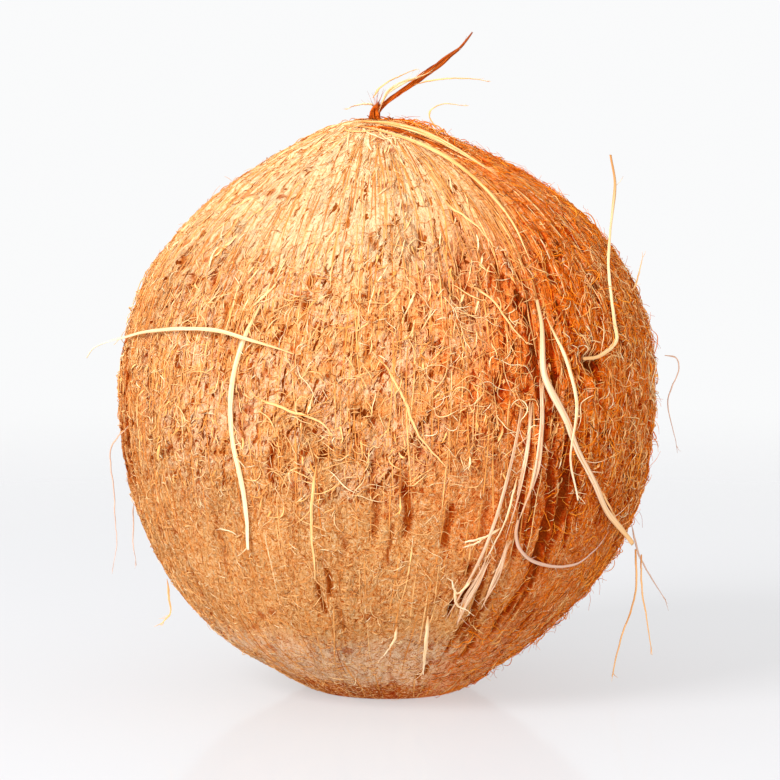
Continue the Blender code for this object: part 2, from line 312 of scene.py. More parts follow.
@dataclass
class Carpels:
    """Where each kind of surface lies: three carpels between the ridges, each weathered apart.

    Attributes:
        form: the nut's shape.
    """

    form: NutForm
    seam_softness: float = 0.05

    def carpel(self, turn: Array, index: int) -> Array:
        """1 inside a carpel and 0 outside; 0 is the right one, 1 the rear and 2 the front."""
        away = np.abs(np.mod(turn - index - 0.5 + 1.5, 3.0) - 1.5)
        return 1.0 - ease(0.5 - self.seam_softness, 0.5 + self.seam_softness, away)

    def fields(self, longitude: Array, along: Array) -> dict[str, Array]:
        """The share of each kind of surface at each place.

        Args:
            longitude: degrees.
            along: distance down the skin.

        Returns:
            The shares by name, each from 0 to 1: the carpels (right, rear, front and its
            flank), the surfaces (paper, felt, rough, amber, ash, seam, crown, scar), under
            "foot" the painted shade along the bottom where the nut rests, how cracked and
            calm the skin is, where light felt and drawn grain grow, and under "level" the
            height itself.
        """
        level = self.form.level(along)
        turn = self.form.ridge_turn(longitude, level)
        right, rear, front = (self.carpel(turn, i) for i in range(3))
        bare = self.form.place(longitude, along)
        drift = 7.0 * rough_noise(bare / 16.0, 5, 2)
        edge = level + drift
        side = wrapped(longitude) + 2.0 * drift
        paper = (front * (1.0 - 0.55 * ease(2.0, 34.0, side)) + 0.6 * rear) * ease(74.0, 94.0, edge)
        left_flank = front * (1.0 - ease(-70.0, -48.0, side))
        felt = 1.0 - ease(46.0, 64.0, edge)
        rough = hill(36.0, 58.0, 82.0, 97.0, edge) * (1.0 - 0.75 * left_flank)
        amber = right * (0.62 + 0.36 * hill(26.0, 46.0, 84.0, 108.0, edge))
        warm_front = front * 0.8 * ease(-8.0, 28.0, side)
        amber = amber + warm_front * hill(16.0, 40.0, 84.0, 104.0, edge) + 0.30 * rear
        ash = hill(-1.0, 3.5, 9.0, 15.0, edge) * (front + 0.6 * rear + 0.3 * right)
        seam_gap = np.abs(np.mod(turn + 0.5, 1.0) - 0.5) * 120.0
        seam = (1.0 - ease(5.0, 11.0, seam_gap)) * hill(6.0, 24.0, 62.0, 86.0, level)
        return {
            "paper": np.clip(paper, 0.0, 1.0), "felt": felt, "rough": rough,
            "amber": np.clip(amber, 0.0, 1.0),
            "ash": np.clip(ash, 0.0, 1.0), "seam": seam, "right": right, "rear": rear, "front": front,
            "flank": left_flank, "level": level,
            "scar": (1.0 - ease(3.0, 7.0, along * np.ones_like(turn) + 0.4 * drift)) * (along < 20.0),
            "crown": 1.0 - ease(9.0, 20.0, along * np.ones_like(turn)),
            "cracked": ease(34.0, 56.0, edge) * (0.8 + 0.2 * (1.0 - paper)),
            "calm": np.clip(self.form.radius(along) / 42.0, 0.2, 1.0) * np.ones_like(turn),
            "light": np.clip(1.0 - amber, 0.12, 1.0), "drawn": (1.0 - 0.8 * felt) * (1.0 - 0.45 * rough),
            # Painted shade along the bottom, where the nut rests on the floor, strongest at the front.
            "foot": (1.0 - ease(1.2, 5.0, level + 0.3 * drift)) * np.clip(0.75 * front + 0.35, 0.0, 1.0),
        }


# ---------------------------------------------------------------- the ground


@dataclass(frozen=True)
class Furrows:
    """One family of cracks or grooves that run down the skin."""

    count: int
    shortest: float
    longest: float
    width: float
    depth: float
    lip: float
    where: str
    # How dark the painted shade in each notch is.
    notch_shade: float
    slant: float = 0.0


@dataclass(frozen=True)
class Groove:
    """One shallow groove or pit of the front, by its middle, its length and its width."""

    x: float
    level: float
    length: float
    width: float
    depth: float
    # How dark the painted shade in the notch is.
    notch_shade: float


@dataclass
class Ground:
    """The nut's relief on a grid of longitude and distance, which every fibre lies on."""

    form: NutForm
    carpels: Carpels
    columns: int = 640
    rows: int = 152
    seed: int = 11
    families: tuple[Furrows, ...] = (
        Furrows(26, 5.0, 16.0, 0.9, 0.5, 0.4, "paper", 0.2, -0.1),
        Furrows(150, 2.5, 9.0, 0.7, 0.7, 0.6, "rough", 0.42),
        Furrows(46, 9.0, 22.0, 0.9, 0.45, 0.1, "felt", 0.3),
        Furrows(160, 3.0, 9.0, 0.5, 0.4, 0.15, "flank", 0.35),
        Furrows(60, 16.0, 44.0, 0.7, 0.8, 0.2, "seam", 0.8),
        Furrows(110, 4.0, 14.0, 0.6, 0.7, 0.3, "right", 0.8),
    )
    grooves: tuple[Groove, ...] = (
        Groove(4.0, 42.5, 17.0, 1.1, 0.8, 0.45), Groove(-2.2, 44.0, 24.0, 1.0, 0.6, 0.35),
        Groove(-6.0, 54.0, 9.0, 0.7, 0.5, 0.4), Groove(-21.6, 50.5, 10.0, 0.7, 0.6, 0.55),
        Groove(-11.2, 27.0, 9.0, 0.6, 0.8, 0.7), Groove(0.8, 35.0, 12.0, 0.5, 0.4, 0.4),
        Groove(11.8, 38.5, 12.0, 1.0, 0.6, 0.5), Groove(6.6, 54.5, 10.0, 0.8, 0.4, 0.3),
        Groove(39.4, 68.4, 4.6, 2.1, 2.6, 1.0), Groove(31.3, 85.2, 3.0, 1.1, 1.4, 1.0),
        Groove(37.0, 74.6, 1.6, 0.9, 1.2, 0.9), Groove(15.4, 24.6, 6.5, 0.6, 1.2, 1.0),
        Groove(-14.2, 84.5, 4.0, 0.7, 1.2, 0.9), Groove(-15.6, 80.4, 3.0, 0.6, 1.0, 0.8),
        Groove(32.0, 64.0, 16.0, 0.7, 0.9, 0.8), Groove(12.2, 21.4, 5.0, 0.6, 1.4, 1.0),
        Groove(15.8, 29.3, 4.0, 0.5, 1.2, 1.0), Groove(-12.4, 23.4, 10.0, 0.6, 0.9, 0.6),
    )
    sink: float = 0.75
    longitude: Array = field(init=False)
    along: Array = field(init=False)
    rise: Array = field(init=False)
    # Painted shade of the cut notches, from 0 to 1.
    crack: Array = field(init=False)
    shares: dict[str, Array] = field(init=False)

    def __post_init__(self) -> None:
        """Raise the lumps and streaks, and then cut the furrows."""
        self.longitude = np.arange(self.columns) * 360.0 / self.columns - 180.0
        self.along = np.linspace(0.0, self.form.length, self.rows + 1)
        around, down = np.meshgrid(self.longitude, self.along)
        self.shares = self.carpels.fields(around, down)
        self.rise = self.lumps(around, down)
        self.crack = np.zeros_like(self.rise)
        rng = np.random.default_rng(self.seed)
        for family in self.families:
            self.cut(family, rng)
        for groove in self.grooves:
            self.press(groove, around, down)
        level = self.shares["level"]
        settle = ease(0.4, 5.0, level) * ease(0.0, 1.5, down)
        self.rise = (self.rise - self.sink) * settle

    def unrolled(self, around: Array, down: Array) -> Array:
        """The skin drawn on a straight tube of the belly's radius, so streaks follow it."""
        turn = np.radians(around)
        radius = self.form.belly_radius
        return np.stack([radius * np.sin(turn), -radius * np.cos(turn), down * np.ones_like(turn)], -1)

    def slant_turn(self, around: Array, down: Array) -> Array:
        """Degrees that the papery layers are drawn round the nut, so they slant on its front."""
        side = wrapped(around)
        share = hill(-120.0, -60.0, -10.0, 50.0, side)
        return np.degrees(0.3 * (self.form.along_at(60.0) - down) / self.form.belly_radius) * -share

    def lumps(self, around: Array, down: Array) -> Array:
        """Broad lumps, fist-sized to pea-sized, and the streaks that run down the husk."""
        bare = self.form.place(around, down)
        tube = self.unrolled(around, down)
        shares = self.shares
        room = np.clip(self.form.radius(down) / 34.0, 0.12, 1.0)
        broad = 0.5 * rough_noise(bare / 27.0, 31, 2)
        middling = 0.42 * rough_noise(bare / np.array([6.0, 6.0, 8.0]), 37, 3)
        streaks = 0.30 * rough_noise(tube / np.array([1.5, 1.5, 17.0]), 41, 3)
        knots = 0.34 * rough_noise(tube / np.array([2.1, 2.1, 3.6]), 43, 3)
        ropes = 0.45 * soft_noise(tube / np.array([1.25, 1.25, 40.0]), 47)
        rough = 0.35 + shares["rough"] + 0.5 * shares["right"]
        streaky = 0.45 + shares["flank"] + 0.1 * shares["paper"]
        total = broad + middling * (0.35 + 0.9 * shares["rough"]) * room
        total = total + streaks * streaky * room * (1.0 - 0.6 * shares["felt"])
        return total + knots * rough * room + ropes * shares["seam"]

    def cut(self, family: Furrows, rng: np.random.Generator) -> None:
        """Cut one family of furrows.

        Each runs down the skin with a little sway. Its section is a round-bottomed notch,
        and the skin beside it on one side is lifted into a lip.

        Args:
            family: how many, how long, how deep and where.
            rng: the source of places.
        """
        lon, along = scatter(self, rng, family.count, family.where)
        length = rng.uniform(family.shortest, family.longest, len(lon))
        phase = rng.uniform(*ANY_ANGLE, (3, len(lon)))
        side = rng.choice((-1.0, 1.0), len(lon))
        for i, reach in enumerate(length):
            radius = max(float(self.form.radius(along[i])), 4.0)
            share = np.linspace(0.0, 1.0, int(reach / 0.45) + 3)
            wander = 0.5 * np.sin(7.0 * share + phase[0, i]) + 0.28 * np.sin(17.0 * share + phase[1, i])
            down = along[i] + reach * (share - 0.5)
            across = np.radians(lon[i]) * radius + wander + family.slant * (down - along[i])
            top, low = np.searchsorted(self.along, [down[0] - 2.5, down[-1] + 2.5])
            top, low = max(top, 1), min(low, self.rows)
            reach_out = 3.0 + np.ptp(wander) + 0.5 * abs(family.slant) * reach
            offset = wrapped(self.longitude - lon[i])
            near = np.flatnonzero(np.abs(np.radians(offset)) * radius < reach_out)
            if low <= top or len(near) == 0:
                continue
            x = (np.radians(lon[i] + offset[near]) * radius)[None, :, None]
            y = self.along[top:low][:, None, None]
            gap_x = x - across[None, None, :]
            gaps = gap_x**2 + (y - down[None, None, :]) ** 2
            nearest = gaps.argmin(-1)
            away = np.sqrt(np.take_along_axis(gaps, nearest[..., None], -1)[..., 0])
            facing = np.take_along_axis(gap_x * np.ones_like(gaps), nearest[..., None], -1)[..., 0] * side[i]
            thin = np.sin(np.pi * np.clip(share[nearest], 0.03, 0.97)) ** 0.6
            width = family.width * (0.5 + 0.5 * thin)
            notch = thin * np.exp(-((away / width) ** 2))
            lip = thin * np.exp(-(((away - 1.6 * width) / (1.3 * width)) ** 2)) * (facing > 0.0)
            window = np.ix_(np.arange(top, low), near)
            self.rise[window] += family.lip * lip - family.depth * notch
            # Painted shade: the notch is written into the crack grid as darkness.
            self.crack[window] = np.maximum(self.crack[window], family.notch_shade * notch)

    def press(self, groove: Groove, around: Array, down: Array) -> None:
        """Press one groove in: a Gaussian notch across, and a plateau along it."""
        middle = float(self.form.front_longitude(np.array(groove.x), np.array(groove.level)))
        offset = wrapped(around - middle)
        ahead = down - float(self.form.along_at(groove.level))
        across = np.radians(offset) * self.form.radius(down) + 0.4 * np.sin(0.5 * ahead + middle)
        length = 0.5 * groove.length
        inside = 1.0 - ease(0.55 * length, length, np.abs(ahead))
        notch = inside * np.exp(-((across / groove.width) ** 2))
        self.rise -= groove.depth * notch
        # Painted shade: the groove's notch is written into the crack grid as darkness.
        self.crack = np.maximum(self.crack, groove.notch_shade * notch)

    def settled(self, points: Array, clearance: Array | float) -> Array:
        """Points pushed out wherever they lie less than a clearance above the skin."""
        level = np.clip(points[..., 2], 0.5, self.form.height - 1.0)
        along = self.form.along_at(level)
        sideways = points[..., 0] - self.form.axis_offset(level)
        longitude = np.degrees(np.arctan2(sideways, -points[..., 1]))
        skin = self.form.place(longitude, along, self.sample(self.rise, longitude, along))
        normal = self.form.normals(longitude, along)
        gap = np.sum((points - skin) * normal, -1)
        push = np.maximum(clearance - gap, 0.0) * (points[..., 2] < self.form.height - 1.0)
        return points + normal * push[..., None]

    def sample(self, grid: Array, longitude: Array, along: Array) -> Array:
        """A grid's value between its points, blended from the four around it."""
        x = np.mod(longitude + 180.0, 360.0) / 360.0 * self.columns
        y = np.clip(along / self.form.length, 0.0, 1.0) * self.rows
        left = np.floor(x).astype(int)
        top = np.minimum(np.floor(y).astype(int), self.rows - 1)
        fx, fy = x - left, y - top
        left, right = left % self.columns, (left + 1) % self.columns
        upper = grid[top, left] * (1.0 - fx) + grid[top, right] * fx
        lower = grid[top + 1, left] * (1.0 - fx) + grid[top + 1, right] * fx
        return upper * (1.0 - fy) + lower * fy

    def over(self, longitude: Array, along: Array, lift: Array | float = 0.0) -> Array:
        """Points over the real, lumpy skin."""
        return self.form.place(longitude, along, self.sample(self.rise, longitude, along) + lift)


def scatter(ground: Ground, rng: np.random.Generator, count: int, where: str) -> tuple[Array, Array]:
    """Places spread evenly over the skin, and thinned by one surface's share and where the cracks' painted
    shade is dark.

    Args:
        ground: the skin.
        rng: the source of places.
        count: how many are wanted.
        where: a share's name, or "all".

    Returns:
        Longitudes and distances down the skin.
    """
    found_lon, found_along, have = [], [], 0
    radii = ground.form.radius(ground.along)
    summed = np.concatenate([[0.0], np.cumsum(0.5 * (radii[1:] + radii[:-1]))])
    for _ in range(60):
        lon = rng.uniform(-180.0, 180.0, 3 * count)
        along = np.interp(rng.uniform(0.0, summed[-1], 3 * count), summed, ground.along)
        keep = rng.uniform(0.0, 1.0, 3 * count)
        chance = np.ones_like(lon) if where == "all" else ground.sample(ground.shares[where], lon, along)
        chance = chance * (ground.form.level(along) > 1.2) * (along > 2.5)
        chance = chance * (1.0 - 0.95 * ease(0.3, 0.7, ground.sample(ground.crack, lon, along)))
        found_lon.append(lon[keep < chance])
        found_along.append(along[keep < chance])
        have += len(found_lon[-1])
        if have >= count:
            break
    return np.concatenate(found_lon)[:count], np.concatenate(found_along)[:count]


# ---------------------------------------------------------------- meshes


@dataclass
class MeshWork:
    """Turns arrays into finished mesh objects, at the frame's scale."""

    scale: float

    def make(
        self,
        name: str,
        points: Array,
        faces: list[Array],
        corners: list[Array],
        fields: dict[str, Array] | None = None,
    ) -> bpy.types.Object:
        """A mesh object at the origin.

        Args:
            name: the piece's name.
            points: vertices in design millimetres.
            faces: arrays of vertex numbers, each array with its own face size.
            corners: for each array of faces, its corners' places on the piece's map.
            fields: attributes on the vertices, scalars or vectors.

        Returns:
            The linked object.
        """
        mesh = bpy.data.meshes.new(name)
        points = np.asarray(points, np.float32).reshape(-1, 3) * self.scale
        mesh.vertices.add(len(points))
        mesh.vertices.foreach_set("co", points.ravel())
        sizes = np.concatenate([np.full(len(group), group.shape[1], np.int32) for group in faces])
        loops = np.concatenate([group.ravel() for group in faces]).astype(np.int32)
        mesh.loops.add(len(loops))
        mesh.loops.foreach_set("vertex_index", loops)
        mesh.polygons.add(len(sizes))
        mesh.polygons.foreach_set("loop_start", np.concatenate([[0], np.cumsum(sizes)[:-1]]).astype(np.int32))
        mesh.polygons.foreach_set("use_smooth", np.ones(len(sizes), bool))
        places = np.concatenate([group.reshape(-1, 2) for group in corners]).astype(np.float32)
        layer = mesh.uv_layers.new(name=BAKE_MAP, do_init=False)
        layer.uv.foreach_set("vector", places.ravel())
        for label, values in (fields or {}).items():
            values = np.asarray(values, np.float32)
            kind, key = ("FLOAT", "value") if values.ndim == 1 else ("FLOAT_VECTOR", "vector")
            made = mesh.attributes.new(label, kind, "POINT")
            made.data.foreach_set(key, values.ravel())
        mesh.update(calc_edges=True)
        mesh.validate()
        thing = bpy.data.objects.new(name, mesh)
        bpy.context.scene.collection.objects.link(thing)
        return thing


@dataclass
class Tubes:
    """Many thin closed tubes of one make, built as whole arrays.

    A tube's rings stand square to its centre line. The first side of each ring faces
    across the line and the second way faces up, which is where flatness acts.

    Attributes:
        centres: (tubes, rings, 3).
        radii: (tubes, rings).
        ups: (tubes, rings, 3), roughly away from the nut.
        sides: how many sides a ring has.
        flatness: height of the ring over its width.
        roll: turns the ring about the line, in radians, (tubes, 1) or one number.
        grooves: how many grooves run along, and how deep as a share of the radius.
    """

    centres: Array
    radii: Array
    ups: Array
    sides: int = 3
    flatness: float = 1.0
    roll: Array | float = 0.0
    grooves: tuple[int, float] = (0, 0.0)

    def points(self) -> Array:
        """Centre plus radius times (across cos a + up flatness sin a), for each side's angle a."""
        ahead = unit_rows(np.gradient(self.centres, axis=1))
        across = unit_rows(np.cross(ahead, self.ups))
        up = np.cross(across, ahead)
        roll = np.asarray(self.roll, float) * np.ones(self.radii.shape)
        turned = across * np.cos(roll)[..., None] + up * np.sin(roll)[..., None]
        upright = up * np.cos(roll)[..., None] - across * np.sin(roll)[..., None]
        angle = 2.0 * np.pi * np.arange(self.sides) / self.sides
        ridges, depth = self.grooves
        swell = 1.0 + depth * np.cos(ridges * angle)
        ring = turned[:, :, None] * (swell * np.cos(angle))[:, None]
        ring = ring + upright[:, :, None] * (self.flatness * swell * np.sin(angle))[:, None]
        return self.centres[:, :, None] + ring * self.radii[:, :, None, None]

    def faces(self) -> tuple[Array, Array]:
        """Quads between neighbouring rings, and one face at each end."""
        tubes, rings = self.radii.shape
        number = np.arange(tubes * rings * self.sides).reshape(tubes, rings, self.sides)
        turned = np.roll(number, -1, axis=2)
        quads = np.stack([number[:, :-1], number[:, 1:], turned[:, 1:], turned[:, :-1]], -1)
        caps = np.concatenate([number[:, 0], number[:, -1, ::-1]])
        return quads.reshape(-1, 4), caps

    def tone_map(self, tones: Array) -> list[Array]:
        """Corner places for fine fibres: tone across the map and the way along it up the map.

        Every fibre of one tone shares a column, so the finish reads only these two.
        """
        tubes, rings = self.radii.shape
        wide, tall = 0.012, 0.01
        side = np.arange(self.sides + 1) / self.sides
        u = 0.01 + 0.965 * tones[:, None, None] + wide * side[None, None, :]
        v = 0.02 + 0.94 * np.linspace(0.0, 1.0, rings)[None, :, None]
        grid = np.stack(np.broadcast_arrays(u, v), -1)
        bend = tall * np.sin(np.pi * side[:-1])
        ends = grid[:, (0, -1), :-1] + np.stack([np.zeros_like(bend), bend], -1)
        caps = np.concatenate([ends[:, 0], ends[:, 1, ::-1]])
        return [map_quads(grid), caps]

    def own_map(self, start: float, width: float) -> list[Array]:
        """Corner places for thick strands: each tube has a column of its own.

        Args:
            start: where the first column starts, from 0 to 1.
            width: how wide all the columns are together.
        """
        tubes, rings = self.radii.shape
        column = width / tubes
        side = np.arange(self.sides + 1) / self.sides
        u = start + column * (np.arange(tubes)[:, None, None] + 0.05 + 0.9 * side[None, None, :])
        v = 0.04 + 0.92 * np.linspace(0.0, 1.0, rings)[None, :, None]
        grid = np.stack(np.broadcast_arrays(u, v), -1)
        bend = np.stack([0.0 * side[:-1], 0.03 * np.sin(np.pi * side[:-1])], -1)
        caps = np.concatenate([grid[:, 0, :-1] - bend, grid[:, -1, -2::-1] + bend[::-1]])
        return [map_quads(grid), caps]


@dataclass
class Gathering:
    """Several makes of tube joined into one mesh, each with its own band of the map."""

    parts: list[Tubes] = field(default_factory=list)
    shares: list[float] = field(default_factory=list)

    def add(self, tubes: Tubes, share: float) -> None:
        """Take in some tubes, with their share of the map."""
        self.parts.append(tubes)
        self.shares.append(share)

    def make(self, work: MeshWork, name: str) -> bpy.types.Object:
        """Join the parts and make the mesh object."""
        points, faces, places, count, start = [], [], [], 0, 0.0
        for tubes, share in zip(self.parts, self.shares):
            width = share / sum(self.shares)
            part = tubes.points().reshape(-1, 3)
            faces += [group + count for group in tubes.faces()]
            places += tubes.own_map(start, width)
            points.append(part)
            count += len(part)
            start += width
        return work.make(name, np.vstack(points), faces, places)


# ---------------------------------------------------------------- finishes


class Bench:
    """Short calls that set nodes on one material."""

    def __init__(self, name: str) -> None:
        """Start a material with an empty Principled surface."""
        self.material = bpy.data.materials.new(name)
        self.material.use_nodes = True
        self.tree = self.material.node_tree
        self.shader = self.tree.nodes["Principled BSDF"]

    def node(self, kind: str, **settings: object) -> bpy.types.Node:
        """A node of one kind with its settings."""
        made = self.tree.nodes.new(kind)
        for key, value in settings.items():
            setattr(made, key, value)
        return made

    def join(self, value: object, socket: bpy.types.NodeSocket) -> None:
        """Feed a socket from another, or set it to a number or a colour."""
        if isinstance(value, bpy.types.NodeSocket):
            self.tree.links.new(value, socket)
        elif isinstance(value, tuple) and socket.type == "RGBA":
            socket.default_value = (*value, 1.0)
        else:
            socket.default_value = value

    def field(self, name: str) -> bpy.types.NodeSocket:
        """A number kept on the mesh."""
        return self.node("ShaderNodeAttribute", attribute_name=name).outputs["Fac"]

    def direction(self, name: str) -> bpy.types.NodeSocket:
        """A vector kept on the mesh."""
        return self.node("ShaderNodeAttribute", attribute_name=name).outputs["Vector"]

    def stretched(self, vector: bpy.types.NodeSocket, scale: tuple) -> bpy.types.NodeSocket:
        """The vector, with each axis scaled by its own number."""
        made = self.node("ShaderNodeMapping")
        self.join(vector, made.inputs["Vector"])
        made.inputs["Scale"].default_value = scale
        return made.outputs["Vector"]

    def noise(self, vector: bpy.types.NodeSocket, scale: float, detail: float = 3.0,
              rough: float = 0.55, bend: float = 0.0) -> bpy.types.NodeSocket:
        """Fractal noise from about 0.25 to 0.75."""
        made = self.node("ShaderNodeTexNoise")
        self.join(vector, made.inputs["Vector"])
        for key, value in (("Scale", scale), ("Detail", detail), ("Roughness", rough), ("Distortion", bend)):
            made.inputs[key].default_value = value
        return made.outputs["Fac"]

    def shaken(self, vector: bpy.types.NodeSocket, scale: float, reach: float) -> bpy.types.NodeSocket:
        """The vector pushed about by noise, as far as the reach."""
        made = self.node("ShaderNodeTexNoise")
        self.join(vector, made.inputs["Vector"])
        made.inputs["Scale"].default_value = scale
        pushed = self.node("ShaderNodeVectorMath", operation="MULTIPLY_ADD")
        self.join(made.outputs["Color"], pushed.inputs[0])
        pushed.inputs[1].default_value = (reach,) * 3
        self.join(vector, pushed.inputs[2])
        return pushed.outputs["Vector"]

    def cells(self, vector: bpy.types.NodeSocket, scale: float, feature: str,
              output: str = "Distance") -> bpy.types.NodeSocket:
        """A Voronoi pattern's distance or colour."""
        made = self.node("ShaderNodeTexVoronoi", feature=feature)
        self.join(vector, made.inputs["Vector"])
        made.inputs["Scale"].default_value = scale
        return made.outputs[output]

    def span(self, value: object, low: float, high: float, start: float = 0.0,
             end: float = 1.0) -> bpy.types.NodeSocket:
        """The value moved smoothly from the range low to high into start to end."""
        made = self.node("ShaderNodeMapRange", interpolation_type="SMOOTHSTEP")
        for key, number in (("From Min", low), ("From Max", high), ("To Min", start), ("To Max", end)):
            made.inputs[key].default_value = number
        self.join(value, made.inputs["Value"])
        return made.outputs["Result"]

    def sum_up(self, operation: str, first: object, second: object = 0.0) -> bpy.types.NodeSocket:
        """One sum on two numbers."""
        made = self.node("ShaderNodeMath", operation=operation)
        self.join(first, made.inputs[0])
        self.join(second, made.inputs[1])
        return made.outputs[0]

    def times(self, first: object, second: object) -> bpy.types.NodeSocket:
        """One number times another."""
        return self.sum_up("MULTIPLY", first, second)

    def plus(self, first: object, second: object) -> bpy.types.NodeSocket:
        """One number added to another."""
        return self.sum_up("ADD", first, second)

    def tint(self, share: object, colour: object, by: object) -> bpy.types.NodeSocket:
        """A colour multiplied by another, as far as the share says."""
        return self.mix(share, colour, by, "MULTIPLY")

    def on_fibre(self) -> tuple[bpy.types.NodeSocket, object]:
        """The place on the piece's own map, and its numbers apart."""
        place = self.node("ShaderNodeUVMap", uv_map=BAKE_MAP).outputs["UV"]
        parts = self.node("ShaderNodeSeparateXYZ")
        self.join(place, parts.inputs["Vector"])
        return place, parts.outputs

    def mix(self, share: object, first: object, second: object, blend: str = "MIX") -> bpy.types.NodeSocket:
        """Two colours mixed by a share."""
        made = self.node("ShaderNodeMix", data_type="RGBA", blend_type=blend, clamp_factor=True)
        self.join(share, made.inputs["Factor"])
        self.join(first, made.inputs[6])
        self.join(second, made.inputs[7])
        return made.outputs[2]

    def scale_colour(self, colour: bpy.types.NodeSocket, by: object) -> bpy.types.NodeSocket:
        """A colour made lighter or darker by a number."""
        made = self.node("ShaderNodeVectorMath", operation="SCALE")
        self.join(colour, made.inputs["Vector"])
        self.join(by, made.inputs["Scale"])
        return made.outputs["Vector"]

    def ramp(self, value: object, stops: tuple[tuple[float, Colour], ...]) -> bpy.types.NodeSocket:
        """A colour read off a strip of stops."""
        made = self.node("ShaderNodeValToRGB")
        strip = made.color_ramp
        while len(strip.elements) < len(stops):
            strip.elements.new(0.5)
        for element, (place, colour) in zip(strip.elements, stops):
            element.position = place
            element.color = (*colour, 1.0)
        self.join(value, made.inputs["Fac"])
        return made.outputs["Color"]

    def finish(self, colour: object, roughness: float, sheen: float = 0.0) -> bpy.types.Material:
        """Feed the surface and hand over the material."""
        self.join(colour, self.shader.inputs["Base Color"])
        self.shader.inputs["Roughness"].default_value = roughness
        self.shader.inputs["Specular IOR Level"].default_value = DRY_SPECULAR
        self.shader.inputs["Sheen Weight"].default_value = sheen
        return self.material


